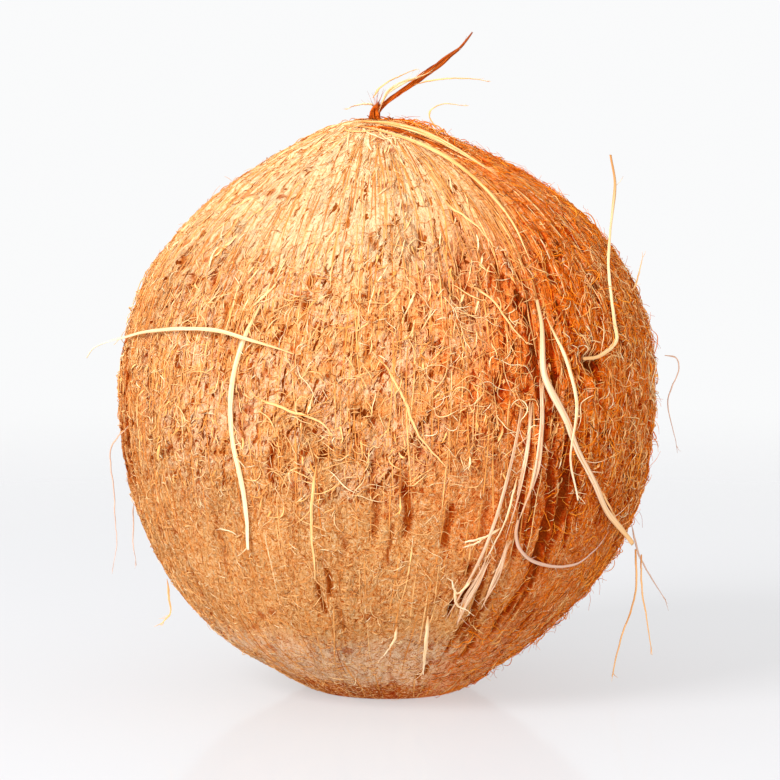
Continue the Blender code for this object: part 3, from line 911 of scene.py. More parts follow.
@dataclass(frozen=True)
class HuskFinish:
    """The dry skin: tan to orange-brown, streaked down the nut, flaking and speckled, with painted shade in
    its hollows, cracks, pits and along its foot, and a painted highlight on its raised relief.
    """

    tan: Colour = (0.84, 0.40, 0.135)
    paper: Colour = (0.99, 0.67, 0.365)
    amber: Colour = (0.90, 0.175, 0.003)
    ash: Colour = (0.98, 0.64, 0.40)
    # Near-black red: the painted shade at the heart of cracks, and the stalk scar's own colour.
    dark: Colour = (0.20, 0.030, 0.002)
    rust: Colour = (0.52, 0.075, 0.003)
    # Painted highlight colour for the raised relief.
    raised_highlight: Colour = (0.99, 0.70, 0.42)
    # Painted shade tints, multiplied in: the first for the relief's shallow hollows; the second for its deep
    # hollows, the feet of the papery cliffs, the cracks and the foot, and also for the real dark dashes.
    hollow_shade_tint: Colour = (0.80, 0.50, 0.26)
    shade_and_dash_tint: Colour = (0.62, 0.26, 0.07)
    # Painted shade colour for the pits.
    pit_shade_tint: Colour = (0.50, 0.17, 0.04)
    bare: Colour = (0.98, 0.62, 0.40)
    bump_depth: float = 0.8
    scale: float = 0.001

    def material(self) -> bpy.types.Material:
        """Build the nodes.

        Streaks, layers and dashes read the unrolled skin off the mesh, and the felt, the
        flecks and the spots read the solid place, both in design millimetres.
        """
        b = Bench("husk_skin")
        place = b.direction("unrolled")
        sheared = b.direction("slanted")
        solid = b.stretched(b.node("ShaderNodeTexCoord").outputs["Object"], (1.0 / self.scale,) * 3)
        broad = b.noise(solid, 0.055, 3.0, 0.55)
        streak = b.noise(b.stretched(place, (1.3, 1.3, 0.09)), 1.0, 4.0, 0.6, 0.4)
        felt = b.noise(solid, 1.4, 3.0, 0.75, 0.6)
        fleck = b.noise(solid, 3.1, 2.0, 0.6, 1.2)
        layer, edge = self.layers(b, sheared)
        colour = b.mix(b.field("paper"), self.tan, self.paper)
        colour = b.mix(b.field("amber"), colour, self.amber)
        colour = b.mix(b.field("ash"), colour, self.ash)
        colour = b.scale_colour(colour, b.span(broad, 0.3, 0.7, 0.88, 1.1))
        drawn = b.times(streak, b.span(b.field("felt"), 0.0, 1.0, 0.4, 0.12))
        matted = b.times(felt, b.span(b.field("felt"), 0.0, 1.0, 0.4, 0.5))
        flecked = b.times(fleck, b.span(b.field("felt"), 0.0, 1.0, 0.2, 0.38))
        relief = b.plus(b.plus(drawn, matted), flecked)
        calm = b.span(b.field("paper"), 0.0, 1.0, 1.0, 0.6)
        crack = b.times(self.cracks(b, sheared), b.field("cracked"))
        worn = b.times(b.span(b.noise(solid, 0.16, 3.0, 0.6), 0.46, 0.58), b.field("rough"))
        worn = b.times(worn, b.span(b.field("amber"), 0.0, 0.8, 0.6, 0.0))
        colour = b.mix(worn, colour, self.bare)
        pits = b.span(b.noise(b.stretched(sheared, (0.9, 0.9, 0.42)), 1.0, 4.0, 0.65, 0.5), 0.46, 0.38)
        pits = b.times(pits, b.span(b.field("rough"), 0.0, 0.6))
        # Painted shade: the relief's low places are tinted darker and redder, the lowest ones twice.
        low = b.times(b.span(relief, 0.52, 0.42), calm)
        colour = b.tint(low, colour, self.hollow_shade_tint)
        colour = b.tint(b.times(b.span(relief, 0.45, 0.37), calm), colour, self.shade_and_dash_tint)
        # Painted highlight: the relief's high places are mixed towards a pale gold.
        colour = b.mix(b.span(relief, 0.52, 0.62, 0.0, 0.75), colour, self.raised_highlight)
        # Painted shade along the foot of each papery cliff.
        colour = b.tint(edge, colour, self.shade_and_dash_tint)
        # Painted shade inside the pits.
        colour = b.tint(pits, colour, self.pit_shade_tint)
        colour = b.tint(self.dashes(b, place), colour, self.shade_and_dash_tint)
        colour = b.mix(self.spots(b, solid), colour, self.rust)
        # Painted shade in cracks: the notches cut into the ground and the thin cracks drawn here are tinted,
        # then darkened at their middles.
        colour = b.tint(b.span(b.field("crack"), 0.08, 0.4), colour, self.shade_and_dash_tint)
        colour = b.mix(b.span(b.field("crack"), 0.35, 0.9), colour, self.dark)
        colour = b.tint(b.span(crack, 0.0, 0.6), colour, self.shade_and_dash_tint)
        colour = b.mix(b.span(crack, 0.5, 1.0), colour, self.dark)
        scar = b.times(b.span(b.field("scar"), 0.2, 0.9), b.span(felt, 0.62, 0.45))
        colour = b.mix(scar, colour, self.dark)
        # Painted shade along the foot, broken up by the felt.
        foot = b.times(b.field("foot"), b.span(felt, 0.66, 0.42))
        colour = b.tint(b.span(foot, 0.05, 0.5), colour, self.shade_and_dash_tint)
        height = b.plus(b.times(relief, 2.4), b.times(layer, 1.0))
        height = b.sum_up("SUBTRACT", height, b.times(crack, 0.6))
        height = b.sum_up("SUBTRACT", height, b.times(pits, 0.7))
        height = b.times(height, b.field("calm"))
        bump = b.node("ShaderNodeBump")
        bump.inputs["Strength"].default_value = 1.0
        bump.inputs["Distance"].default_value = self.bump_depth * self.scale
        b.join(height, bump.inputs["Height"])
        b.join(bump.outputs["Normal"], b.shader.inputs["Normal"])
        return b.finish(colour, 0.8)

    @staticmethod
    def layers(b: Bench, place: bpy.types.NodeSocket) -> tuple[bpy.types.NodeSocket, bpy.types.NodeSocket]:
        """Papery layers: a drawn-out noise cut into saw-teeth, so each layer ends in a small cliff.

        Returns:
            The layers' height, and how near a place is to the foot of a cliff, where the finish tints painted
            shade.
        """
        drawn = b.noise(b.stretched(place, (0.2, 0.2, 0.05)), 1.0, 4.0, 0.6, 0.3)
        frayed = b.noise(b.stretched(place, (1.1, 1.1, 0.5)), 1.0, 3.0, 0.6)
        drawn = b.plus(drawn, b.times(frayed, 0.10))
        tooth = b.sum_up("FRACT", b.times(drawn, 9.0))
        share = b.span(b.noise(b.stretched(place, (0.2, 0.2, 0.09)), 1.0, 2.0), 0.43, 0.55)
        height = b.times(b.span(tooth, 0.0, 0.8), share)
        foot = b.times(b.span(tooth, 0.11, 0.03), share)
        return height, foot

    @staticmethod
    def cracks(b: Bench, place: bpy.types.NodeSocket) -> bpy.types.NodeSocket:
        """Thin cracks: the borders of drawn-out cells, open in some places and closed in others."""
        shaken = b.shaken(place, 0.35, 4.0)
        border = b.cells(b.stretched(shaken, (0.17, 0.17, 0.045)), 1.0, "DISTANCE_TO_EDGE")
        fine = b.cells(b.stretched(shaken, (0.42, 0.42, 0.13)), 1.0, "DISTANCE_TO_EDGE")
        open_here = b.span(b.noise(b.stretched(place, (0.3, 0.3, 0.1)), 1.0, 3.0), 0.5, 0.66, 0.0, 0.05)
        fine_here = b.span(b.noise(b.stretched(place, (0.5, 0.5, 0.2)), 1.0, 3.0), 0.545, 0.68, 0.0, 0.105)
        long_crack = b.span(b.sum_up("SUBTRACT", border, open_here), 0.0, -0.022)
        short_crack = b.span(b.sum_up("SUBTRACT", fine, fine_here), 0.0, -0.05)
        return b.sum_up("MAXIMUM", long_crack, b.times(short_crack, 0.8))

    @staticmethod
    def dashes(b: Bench, place: bpy.types.NodeSocket) -> bpy.types.NodeSocket:
        """Short dark dashes that run down the nut, in some places only."""
        marks = b.cells(b.stretched(place, (0.62, 0.62, 0.16)), 1.0, "F1")
        share = b.span(b.noise(place, 0.35, 2.0), 0.5, 0.62, 0.0, 0.85)
        return b.times(b.span(marks, 0.2, 0.1), share)

    @staticmethod
    def spots(b: Bench, place: bpy.types.NodeSocket) -> bpy.types.NodeSocket:
        """Sparse ragged rust-red spots a millimetre or two across."""
        shaken = b.noise(place, 1.3, 3.0)
        marks = b.plus(b.cells(place, 0.12, "F1"), b.times(shaken, 0.25))
        return b.span(marks, 0.3, 0.2, 0.0, 0.7)


@dataclass(frozen=True)
class CoirFinish:
    """Dry fibre. The map's first number is the fibre's tone, and its second the way along it."""

    name: str
    stops: tuple[tuple[float, Colour], ...]
    roughness: float = 0.55

    def material(self) -> bpy.types.Material:
        """Tone picks the colour, and each fibre is a little darker at its root and mottled."""
        b = Bench(self.name)
        place, parts = b.on_fibre()
        colour = b.ramp(parts["X"], self.stops)
        mottle = b.noise(b.stretched(place, (90.0, 7.0, 1.0)), 1.0, 2.0)
        colour = b.scale_colour(colour, b.span(mottle, 0.3, 0.7, 0.8, 1.12))
        colour = b.scale_colour(colour, b.span(parts["Y"], 0.0, 0.25, 0.78, 1.0))
        return b.finish(colour, self.roughness)


@dataclass(frozen=True)
class StrandFinish:
    """A thick strand: fine streaks along it, darker where it leaves the husk and at its tip."""

    name: str
    light: Colour
    shade: Colour
    root: Colour
    tip: Colour
    streaks: float = 16.0
    roughness: float = 0.55

    def material(self) -> bpy.types.Material:
        """Streaks are noise drawn out along the strand, on the strand's own map."""
        b = Bench(self.name)
        place, parts = b.on_fibre()
        grain = b.noise(b.stretched(place, (self.streaks, 3.0, 1.0)), 1.0, 4.0, 0.65)
        colour = b.mix(b.span(grain, 0.42, 0.62), self.light, self.shade)
        colour = b.mix(b.span(parts["Y"], 0.03, 0.25, 0.75, 0.0), colour, self.root)
        colour = b.mix(b.span(parts["Y"], 0.6, 0.95, 0.0, 0.9), colour, self.tip)
        return b.finish(colour, self.roughness)


class Look(Enum):
    """The finishes of the thick strands."""

    CREAM = StrandFinish("cream_strand", (0.90, 0.66, 0.40), (0.76, 0.44, 0.20), (0.72, 0.34, 0.11),
                         (0.92, 0.72, 0.48))
    WEATHERED = StrandFinish("weathered_strand", (0.90, 0.64, 0.42), (0.62, 0.35, 0.18), (0.66, 0.32, 0.12),
                             (0.86, 0.50, 0.21))
    BROWNED = StrandFinish("browned_strand", (0.94, 0.72, 0.42), (0.76, 0.45, 0.19), (0.66, 0.30, 0.09),
                           (0.46, 0.19, 0.05))
    GOLDEN = StrandFinish("golden_strand", (0.92, 0.54, 0.24), (0.74, 0.32, 0.09), (0.60, 0.20, 0.03),
                          (0.86, 0.48, 0.20))
    GREY = StrandFinish("grey_strand", (0.86, 0.58, 0.38), (0.60, 0.33, 0.18), (0.60, 0.28, 0.10),
                        (0.74, 0.44, 0.26))
    LILAC = StrandFinish("lilac_strand", (0.74, 0.48, 0.35), (0.50, 0.29, 0.19), (0.50, 0.26, 0.14),
                         (0.60, 0.42, 0.34))
    STALK = StrandFinish("stalk_strand", (0.58, 0.11, 0.008), (0.16, 0.014, 0.001), (0.17, 0.016, 0.001),
                         (0.26, 0.06, 0.015), 26.0)


DARK_TO_CREAM = (
    (0.0, (0.16, 0.030, 0.005)),
    (0.25, (0.50, 0.13, 0.018)),
    (0.5, (0.78, 0.31, 0.075)),
    (0.75, (0.92, 0.54, 0.22)),
    (1.0, (0.96, 0.78, 0.49)),
)


AMBER_TO_CREAM = (
    (0.0, (0.14, 0.020, 0.003)),
    (0.25, (0.56, 0.09, 0.003)),
    (0.5, (0.88, 0.20, 0.006)),
    (0.75, (0.97, 0.36, 0.04)),
    (1.0, (0.97, 0.66, 0.30)),
)


# ---------------------------------------------------------------- sub-assemblies


def hand_over(piece: bpy.types.Object, slot: Slot, material: bpy.types.Material, *stands_for: str) -> None:
    """Dress a piece, set it on the nut's body and hide the solids of the frame that it stands for.

    Args:
        piece: the finished object.
        slot: the record's slot for the piece; not used.
        material: its finish.
        stands_for: the CAD nodes it replaces, if any.
    """
    piece.data.materials.append(material)
    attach(piece, BODY)
    if stands_for:
        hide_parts(*stands_for)
    LOG.info("%s: %d faces", piece.name, len(piece.data.polygons))


@dataclass
class HuskSkin:
    """The skin of the whole nut: one closed surface on the ground's grid."""

    READ_SHARES = ("paper", "amber", "ash", "scar", "felt", "rough", "foot", "cracked", "calm")

    work: MeshWork
    ground: Ground

    def build(self) -> None:
        """Rings of points from crown to resting spot, closed by a point at each end."""
        ground = self.ground
        around, down = np.meshgrid(ground.longitude, ground.along[1:-1])
        rings = ground.over(around, down)
        rings[..., 2] = np.maximum(rings[..., 2], 0.0)
        poles = ground.form.place(np.zeros(2), np.array([0.0, ground.form.length]))
        points = np.vstack([rings.reshape(-1, 3), poles])
        columns, count = ground.columns, len(rings)
        number = np.arange(count * columns).reshape(count, columns)
        turned = np.roll(number, -1, axis=1)
        quads = ring_quads(number)
        crown, spot = count * columns, count * columns + 1
        top = np.stack([np.full(columns, crown), number[0], turned[0]], -1)
        low = np.stack([np.full(columns, spot), turned[-1], number[-1]], -1)
        points_on_map = self.map_places(count, columns)
        body = map_quads(points_on_map[None, 1:-1])
        middle = 0.5 * (points_on_map[:, :-1] + points_on_map[:, 1:])
        top_map = np.stack([middle[0], points_on_map[1, :-1], points_on_map[1, 1:]], -2)
        low_map = np.stack([middle[-1], points_on_map[-2, 1:], points_on_map[-2, :-1]], -2)
        faces = [quads, np.vstack([top, low])]
        corners = [body, np.vstack([top_map, low_map])]
        piece = self.work.make("husk_skin", points, faces, corners, self.marks())
        hand_over(piece, Slot.SKIN, HuskFinish(scale=self.work.scale).material(), NUT_NODE)

    @staticmethod
    def map_places(count: int, columns: int) -> Array:
        """The unrolled skin as a rectangle: longitude across, distance up."""
        u = np.linspace(0.002, 0.998, columns + 1)
        v = np.linspace(0.998, 0.002, count + 2)
        return np.stack(np.meshgrid(u, v), -1)

    def marks(self) -> dict[str, Array]:
        """What the finish reads off the mesh: the shares of each surface and the cracks' painted shade."""
        ground = self.ground
        grids = {key: ground.shares[key] for key in self.READ_SHARES} | {"crack": ground.crack}
        marks = {}
        for key, grid in grids.items():
            marks[key] = np.concatenate([grid[1:-1].ravel(), [grid[0, 0], grid[-1, 0]]])
        around, down = np.meshgrid(ground.longitude, ground.along[1:-1])
        tube = ground.unrolled(around, down).reshape(-1, 3)
        drawn_over = ground.slant_turn(around, down)
        slanted = ground.unrolled(around + drawn_over, down).reshape(-1, 3)
        ends = np.array([[0.0, 0.0, 0.0], [0.0, 0.0, ground.form.length]])
        return marks | {"unrolled": np.vstack([tube, ends]), "slanted": np.vstack([slanted, ends])}


@dataclass(frozen=True)
class Coir:
    """One kind of short fibre that lies on or grows from the husk.

    Attributes:
        name: the piece's name.
        count: how many roots.
        where: the share of the surface it grows on, or "all".
        length: shortest and longest.
        radius: thinnest and thickest.
        tone: the palette place's mean and spread.
        lift: how far it lies off the skin.
        arch: how far its middle rises.
        tip_rise: how far its tip rises.
        spread: how far its heading strays from straight down, in radians.
        slant: the mean heading, in radians.
        bend: its curvature's spread, in radians a millimetre.
        wander: how much the curvature changes at each step.
        steps: rings less one.
        sides: sides of a ring.
        flatness: height over width.
        tilt: how far a flat fibre leans on edge, in radians.
        ragged: how uneven its width is.
        clump: how many share a root.
        clump_size: how far apart they stand there.
        seed: the source of its numbers.
    """

    name: str
    count: int
    where: str
    length: tuple[float, float]
    radius: tuple[float, float]
    tone: tuple[float, float]
    lift: float = 0.05
    arch: float = 0.1
    tip_rise: float = 0.0
    spread: float = 3.1416
    slant: float = 0.0
    bend: float = 0.3
    wander: float = 0.2
    steps: int = 3
    sides: int = 3
    flatness: float = 1.0
    tilt: float = 0.0
    ragged: float = 0.0
    clump: int = 1
    clump_size: float = 2.0
    seed: int = 1


@dataclass
class CoirCover:
    """Grows a kind of fibre over the ground."""

    work: MeshWork
    ground: Ground

    def roots(self, kind: Coir, rng: np.random.Generator) -> tuple[Array, Array]:
        """Where the fibres start: alone, or several round one spot."""
        lon, along = scatter(self.ground, rng, kind.count, kind.where)
        if kind.clump == 1:
            return lon, along
        lon, along = np.repeat(lon, kind.clump), np.repeat(along, kind.clump)
        off = rng.normal(0.0, kind.clump_size, (2, len(lon)))
        return lon + np.degrees(off[0] / np.maximum(self.ground.form.radius(along), 6.0)), along + off[1]

    def walk(self, kind: Coir, rng: np.random.Generator, lon: Array, along: Array) -> tuple[Array, Array]:
        """Paths over the skin.

        Each step turns the heading by the curvature, which drifts at random about nought.

        Args:
            kind: the fibre.
            rng: the source of turns.
            lon: root longitudes.
            along: root distances.

        Returns:
            Longitudes and distances, (fibres, steps + 1).
        """
        count = len(lon)
        step = rng.uniform(*kind.length, count) / kind.steps
        heading = kind.slant + rng.uniform(-1.0, 1.0, count) * kind.spread
        curvature = rng.normal(0.0, kind.bend, count)
        lons, alongs = [lon], [along]
        for _ in range(kind.steps):
            curvature = 0.8 * curvature + rng.normal(0.0, kind.wander, count)
            heading = heading + curvature * step
            along = np.clip(along + step * np.cos(heading), 0.6, self.ground.form.length - 16.0)
            around = step * np.sin(heading) / np.maximum(self.ground.form.radius(along), 3.0)
            lon = lon + np.degrees(around)
            lons.append(lon)
            alongs.append(along)
        return np.stack(lons, 1), np.stack(alongs, 1)

    def grow(self, kind: Coir, finish: bpy.types.Material, slot: Slot) -> None:
        """Root the fibres, walk them over the skin, lift them and make their tubes.

        The lift is a constant, plus an arch of half a sine, plus a tip that rises with
        the square of the way along.
        """
        rng = np.random.default_rng(kind.seed)
        lon, along = self.roots(kind, rng)
        lons, alongs = self.walk(kind, rng, lon, along)
        t = np.linspace(0.0, 1.0, kind.steps + 1)[None, :]
        high = rng.gamma(2.0, 0.5, (len(lon), 1))
        lift = kind.lift * rng.uniform(0.3, 1.3, (len(lon), 1)) + kind.arch * high * np.sin(np.pi * t)
        lift = lift + kind.tip_rise * high * t**2
        centres = self.ground.over(lons, alongs, lift)
        girth = rng.uniform(*kind.radius, (len(lon), 1)) * (1.0 - 0.75 * np.abs(2.0 * t - 0.8) ** 2.5)
        girth = girth * np.exp(kind.ragged * rng.normal(0.0, 1.0, girth.shape))
        girth = np.maximum(girth, 0.03)
        centres[..., 2] = np.maximum(centres[..., 2], 1.2 * girth)
        roll = kind.tilt * rng.normal(0.0, 1.0, (len(lon), 1)) * np.ones_like(t)
        tubes = Tubes(centres, girth, self.ground.form.normals(lons, alongs), kind.sides, kind.flatness, roll)
        tones = np.clip(rng.normal(*kind.tone, len(lon)), 0.0, 1.0)
        piece = self.work.make(kind.name, tubes.points(), list(tubes.faces()), tubes.tone_map(tones))
        hand_over(piece, slot, finish)


class Coat(Enum):
    """Every kind of short golden fibre on the nut, from the skin outwards."""

    GRAIN = Coir("grain_fibres", 2200, "drawn", (7.0, 26.0), (0.08, 0.2), (0.5, 0.14), lift=0.0, arch=0.03,
                 spread=0.05, bend=0.006, wander=0.004, steps=8, flatness=0.6, seed=101)
    FELT = Coir("felt_all_over", 8500, "light", (0.8, 2.2), (0.05, 0.09), (0.55, 0.2), bend=0.6, seed=102)
    FELT_LOW = Coir("felt_low", 9500, "felt", (0.8, 2.4), (0.05, 0.085), (0.56, 0.2), bend=0.6, seed=103)
    TANGLE = Coir("middle_tangle", 4800, "rough", (1.5, 4.0), (0.06, 0.11), (0.62, 0.18), lift=0.1, arch=0.25,
                  bend=0.5, steps=5, seed=104)
    FUZZ = Coir("right_fuzz", 5600, "right", (1.5, 4.0), (0.055, 0.1), (0.42, 0.17), lift=0.1, arch=0.25,
                bend=0.7, wander=0.3, steps=5, seed=105)
    REAR = Coir("rear_tangle", 5600, "rear", (1.5, 4.5), (0.06, 0.11), (0.55, 0.18), lift=0.1, arch=0.2,
                bend=0.5, steps=5, seed=107)
    CURLS = Coir("middle_curls", 120, "rough", (2.5, 9.5), (0.06, 0.13), (0.74, 0.12), lift=0.15, arch=0.4,
                 bend=0.2, wander=0.22, steps=20, clump=5, seed=108)
    RIGHT_CURLS = Coir("right_curls", 110, "right", (2.5, 10.0), (0.06, 0.12), (0.7, 0.14), lift=0.15,
                       arch=0.5, bend=0.3, wander=0.28, steps=18, clump=5, clump_size=2.5, seed=109)
    LOW_CURLS = Coir("low_curls", 45, "felt", (2.0, 7.0), (0.05, 0.11), (0.8, 0.1), lift=0.12, arch=0.3,
                     bend=0.3, wander=0.28, steps=14, clump=3, seed=114)
    STUBBLE = Coir("stalk_stubble", 90, "scar", (1.0, 3.0), (0.08, 0.22), (0.2, 0.12), lift=0.1, arch=0.2,
                   tip_rise=0.5, bend=0.2, wander=0.1, steps=6, seed=115)
    SHREDS = Coir("crown_shreds", 70, "crown", (4.0, 14.0), (0.12, 0.34), (0.8, 0.1), lift=0.05, arch=0.15,
                  spread=0.5, bend=0.08, wander=0.05, steps=12, sides=5, flatness=0.5, seed=116)
    FLAKES = Coir("bark_flakes", 260, "paper", (2.0, 8.0), (0.07, 0.2), (0.8, 0.06), lift=0.05, arch=0.15,
                  spread=0.15, slant=-0.3, bend=0.05, wander=0.05, steps=12, sides=6, flatness=0.22, tilt=0.6,
                  ragged=0.3, seed=110)
    CHIPS = Coir("middle_flakes", 900, "rough", (1.0, 4.0), (0.08, 0.22), (0.6, 0.1), lift=0.05, arch=0.2,
                 tip_rise=0.4, spread=0.6, slant=-0.15, bend=0.2, wander=0.2, steps=6, sides=6,
                 flatness=0.25, tilt=0.6, ragged=0.3, seed=111)
    HAIRS = Coir("loose_hairs", 420, "all", (1.5, 4.5), (0.035, 0.05), (0.6, 0.14), lift=0.1, arch=0.3,
                 tip_rise=0.7, bend=0.35, wander=0.15, steps=6, seed=112)
    RIGHT_HAIRS = Coir("right_hairs", 1300, "right", (1.5, 4.5), (0.035, 0.055), (0.42, 0.14), lift=0.1,
                       arch=0.3, tip_rise=0.8, bend=0.45, wander=0.2, steps=6, seed=113)


# ---------------------------------------------------------------- loose strands


@dataclass(frozen=True)
class Knot:
    """One point of a strand's way: on the skin by X, height and lift, or clear of the nut."""

    x: float
    y: float
    z: float
    on_skin: bool


def on(x: float, height: float, lift: float) -> Knot:
    """A point above the front skin."""
    return Knot(x, height, lift, True)


def off(x: float, y: float, height: float) -> Knot:
    """A point clear of the nut."""
    return Knot(x, y, height, False)


@dataclass(frozen=True)
class Strand:
    """One loose strand, which stands for one solid of the frame unless it is extra.

    Attributes:
        node: the solid.
        slot: its slot in the record; the finish comes from the look.
        look: its finish.
        radius: its half-width.
        way: the points it passes.
        flatness: thickness over width.
        root: its width at the root, as a share.
        tip: its width at the tip, as a share.
        frays: how many fine fibres leave its tip.
        barbs: how many fine fibres leave its sides.
        strays: how far it wavers.
        extra: True where no solid of the frame stands for it.
    """

    node: str
    slot: Slot
    look: Look
    radius: float
    way: tuple[Knot, ...]
    flatness: float = 0.6
    root: float = 0.35
    tip: float = 0.3
    frays: int = 2
    barbs: int = 2
    strays: float = 0.12
    extra: bool = False


@dataclass(frozen=True)
class Sheaf:
    """A bundle of fine fibres that run together, for one solid of the frame unless it is extra.

    Attributes:
        node, slot, look, way: as a strand's.
        filaments: how many fibres.
        width: half the bundle's width.
        height: half its thickness.
        thickness: thinnest and thickest fibre radius.
        twist: how far the bundle turns over its length, in radians.
        belly: where along it the bundle is fullest, from 0 to 1.
        barbs: how many fine fibres stick out.
        extra: as a strand's.
    """

    node: str
    slot: Slot
    look: Look
    way: tuple[Knot, ...]
    filaments: int
    width: float
    height: float
    thickness: tuple[float, float]
    twist: float = 0.4
    belly: float = 0.4
    barbs: int = 6
    extra: bool = False


@dataclass
class StrandMaker:
    """Lays strands and sheaves over the ground.

    Attributes:
        path_steps: steps between two points of a way.
        strand_rings, sheaf_rings, side_rings: rings of a strand, a filament and a side fibre.
        sheaf_points: points on a sheaf's middle line.
        skin_drop: how much closer to the skin a strand lies than its points say.
        middle_height: height of the place that strands turn their broad side away from.
    """

    work: MeshWork
    ground: Ground
    finishes: dict[Look, bpy.types.Material] = field(default_factory=dict)
    path_steps: int = 16
    strand_rings: int = 90
    sheaf_rings: int = 44
    side_rings: int = 12
    sheaf_points: int = 160
    skin_drop: float = 0.3
    middle_height: float = 55.0

    def line(self, way: tuple[Knot, ...], rings: int) -> Array:
        """The strand's middle line, with even steps, clear of the skin."""
        form = self.ground.form
        knots = []
        for knot in way:
            if not knot.on_skin:
                knots.append([knot.x, knot.y, knot.z])
                continue
            level = np.array(knot.y)
            longitude, along = form.front_longitude(np.array(knot.x), level), form.along_at(level)
            knots.append(self.ground.over(longitude, along, np.array(knot.z - self.skin_drop)))
        path = smooth_path(np.array(knots), self.path_steps)
        travelled = np.concatenate([[0.0], np.cumsum(np.linalg.norm(np.diff(path, axis=0), axis=1))])
        even = np.linspace(0.0, travelled[-1], rings)
        return read_rows(even, travelled, path)

    def outward(self, points: Array) -> Array:
        """Directions away from the nut's middle line, which strands keep their broad side to."""
        return unit_rows(points - np.array([0.0, 0.0, self.middle_height]))

    def side_fibres(self, line: Array, rng: np.random.Generator, count: int, where: tuple[float, float],
                    length: tuple[float, float], girth: float) -> Tubes:
        """Fine fibres that leave a line and curl: straight ahead at first, then bending away.

        Args:
            line: the strand's middle line.
            rng: the source of directions.
            count: how many.
            where: between which shares of the line they leave.
            length: shortest and longest.
            girth: their radius at the root.

        Returns:
            The fibres.
        """
        rings = self.side_rings
        start = (rng.uniform(*where, count) * (len(line) - 1)).astype(int)
        ahead = unit_rows(np.gradient(line, axis=0))[start]
        up = self.outward(line[start])
        across = unit_rows(np.cross(ahead, up))
        t = np.linspace(0.0, 1.0, rings)[None, :, None]
        reach = rng.uniform(*length, (count, 1, 1))
        aside = rng.uniform(-0.9, 0.9, (count, 1, 1))
        lift = rng.uniform(-0.1, 0.5, (count, 1, 1))
        curl = rng.uniform(-0.5, 0.5, (count, 1, 1))
        way = ahead[:, None] * (t - 0.25 * t**2) + across[:, None] * (aside * t + curl * t**3)
        centres = line[start][:, None] + reach * (way + up[:, None] * lift * t**2)
        centres = self.ground.settled(centres, 0.1)
        radii = girth * rng.uniform(0.6, 1.2, (count, 1)) * (1.0 - 0.7 * t[..., 0] ** 2)
        return Tubes(centres, radii, np.repeat(up[:, None], rings, 1), 5)

    def hand_over(self, gathering: Gathering, piece_of: Strand | Sheaf) -> None:
        """Make the piece, dress it and hide the solid it stands for, unless it is extra."""
        if piece_of.look not in self.finishes:
            self.finishes[piece_of.look] = piece_of.look.value.material()
        piece = gathering.make(self.work, f"{piece_of.node}.coir")
        solids = () if piece_of.extra else (piece_of.node,)
        hand_over(piece, piece_of.slot, self.finishes[piece_of.look], *solids)

    def lay(self, strand: Strand, seed: int) -> None:
        """One strand: a flat grooved tube that wavers, thins at both ends and splits at its tip."""
        rng = np.random.default_rng(seed)
        line = self.line(strand.way, self.strand_rings)
        t = np.linspace(0.0, 1.0, len(line))
        sway = np.stack([line_noise(t, 9.0, seed, row=axis) for axis in range(3)], -1)
        line = line + strand.strays * sway * ease(0.0, 0.1, t)[:, None]
        line = self.ground.settled(line, strand.flatness * strand.radius * 0.6)
        profile = strand.root + (1.0 - strand.root) * ease(0.0, 0.18, t)
        profile = profile * (1.0 - (1.0 - strand.tip) * t**2.5)
        uneven = 1.0 + 0.14 * line_noise(t, 14.0, seed + 1, layer=5.0)
        radii = (strand.radius * profile * uneven)[None]
        roll = 0.7 * line_noise(t, 3.0, seed + 2, layer=9.0)[None]
        gathering = Gathering()
        body = Tubes(line[None], radii, self.outward(line)[None], 14, strand.flatness, roll, (4, 0.13))
        gathering.add(body, 3.0)
        fine = 0.28 * strand.radius
        if strand.frays:
            length = (3.0 * strand.radius, 9.0 * strand.radius)
            gathering.add(self.side_fibres(line, rng, strand.frays, (0.9, 1.0), length, fine), 1.0)
        if strand.barbs:
            length = (4.0 * strand.radius, 10.0 * strand.radius)
            gathering.add(self.side_fibres(line, rng, strand.barbs, (0.05, 0.9), length, 0.7 * fine), 1.0)
        self.hand_over(gathering, strand)

    def bind(self, sheaf: Sheaf, seed: int) -> None:
        """One sheaf: fibres that circle the line at their own distances, and start and stop apart.

        The distance grows to the belly and shrinks to both ends, and the angle turns
        evenly by the twist.
        """
        rng = np.random.default_rng(seed)
        line = self.line(sheaf.way, self.sheaf_points)
        share = np.linspace(0.0, 1.0, len(line))
        count = sheaf.filaments
        begin = rng.uniform(0.0, 0.25, (count, 1)) * (rng.uniform(0.0, 1.0, (count, 1)) < 0.6)
        end = 1.0 - rng.uniform(0.0, 0.45, (count, 1)) * (rng.uniform(0.0, 1.0, (count, 1)) < 0.75)
        t = np.linspace(0.0, 1.0, self.sheaf_rings)[None, :]
        spot = begin + (end - begin) * t
        middle = read_rows(spot, share, line)
        ahead = unit_rows(np.gradient(line, axis=0))
        up = self.outward(line)
        across = unit_rows(np.cross(ahead, up))
        up = np.cross(across, ahead)
        across = read_rows(spot, share, across)
        up = read_rows(spot, share, up)
        swell = np.where(spot < sheaf.belly, 0.5 + 0.5 * ease(0.3 * sheaf.belly, sheaf.belly, spot),
                         1.0 - 0.8 * ease(sheaf.belly, 1.0, spot))
        swell = swell + 0.5 * (1.0 - ease(0.0, 0.12, spot))
        angle = rng.uniform(*ANY_ANGLE, (count, 1)) + sheaf.twist * spot
        away = np.sqrt(rng.uniform(0.0, 1.0, (count, 1))) * swell
        away = away * (1.0 + 0.25 * np.sin(5.0 * spot + rng.uniform(*ANY_ANGLE, (count, 1))))
        centres = middle + across * (sheaf.width * away * np.cos(angle))[..., None]
        centres = centres + up * (sheaf.height * away * np.sin(angle))[..., None]
        radii = rng.uniform(*sheaf.thickness, (count, 1)) * (1.0 - 0.8 * np.abs(2.0 * t - 1.0) ** 3)
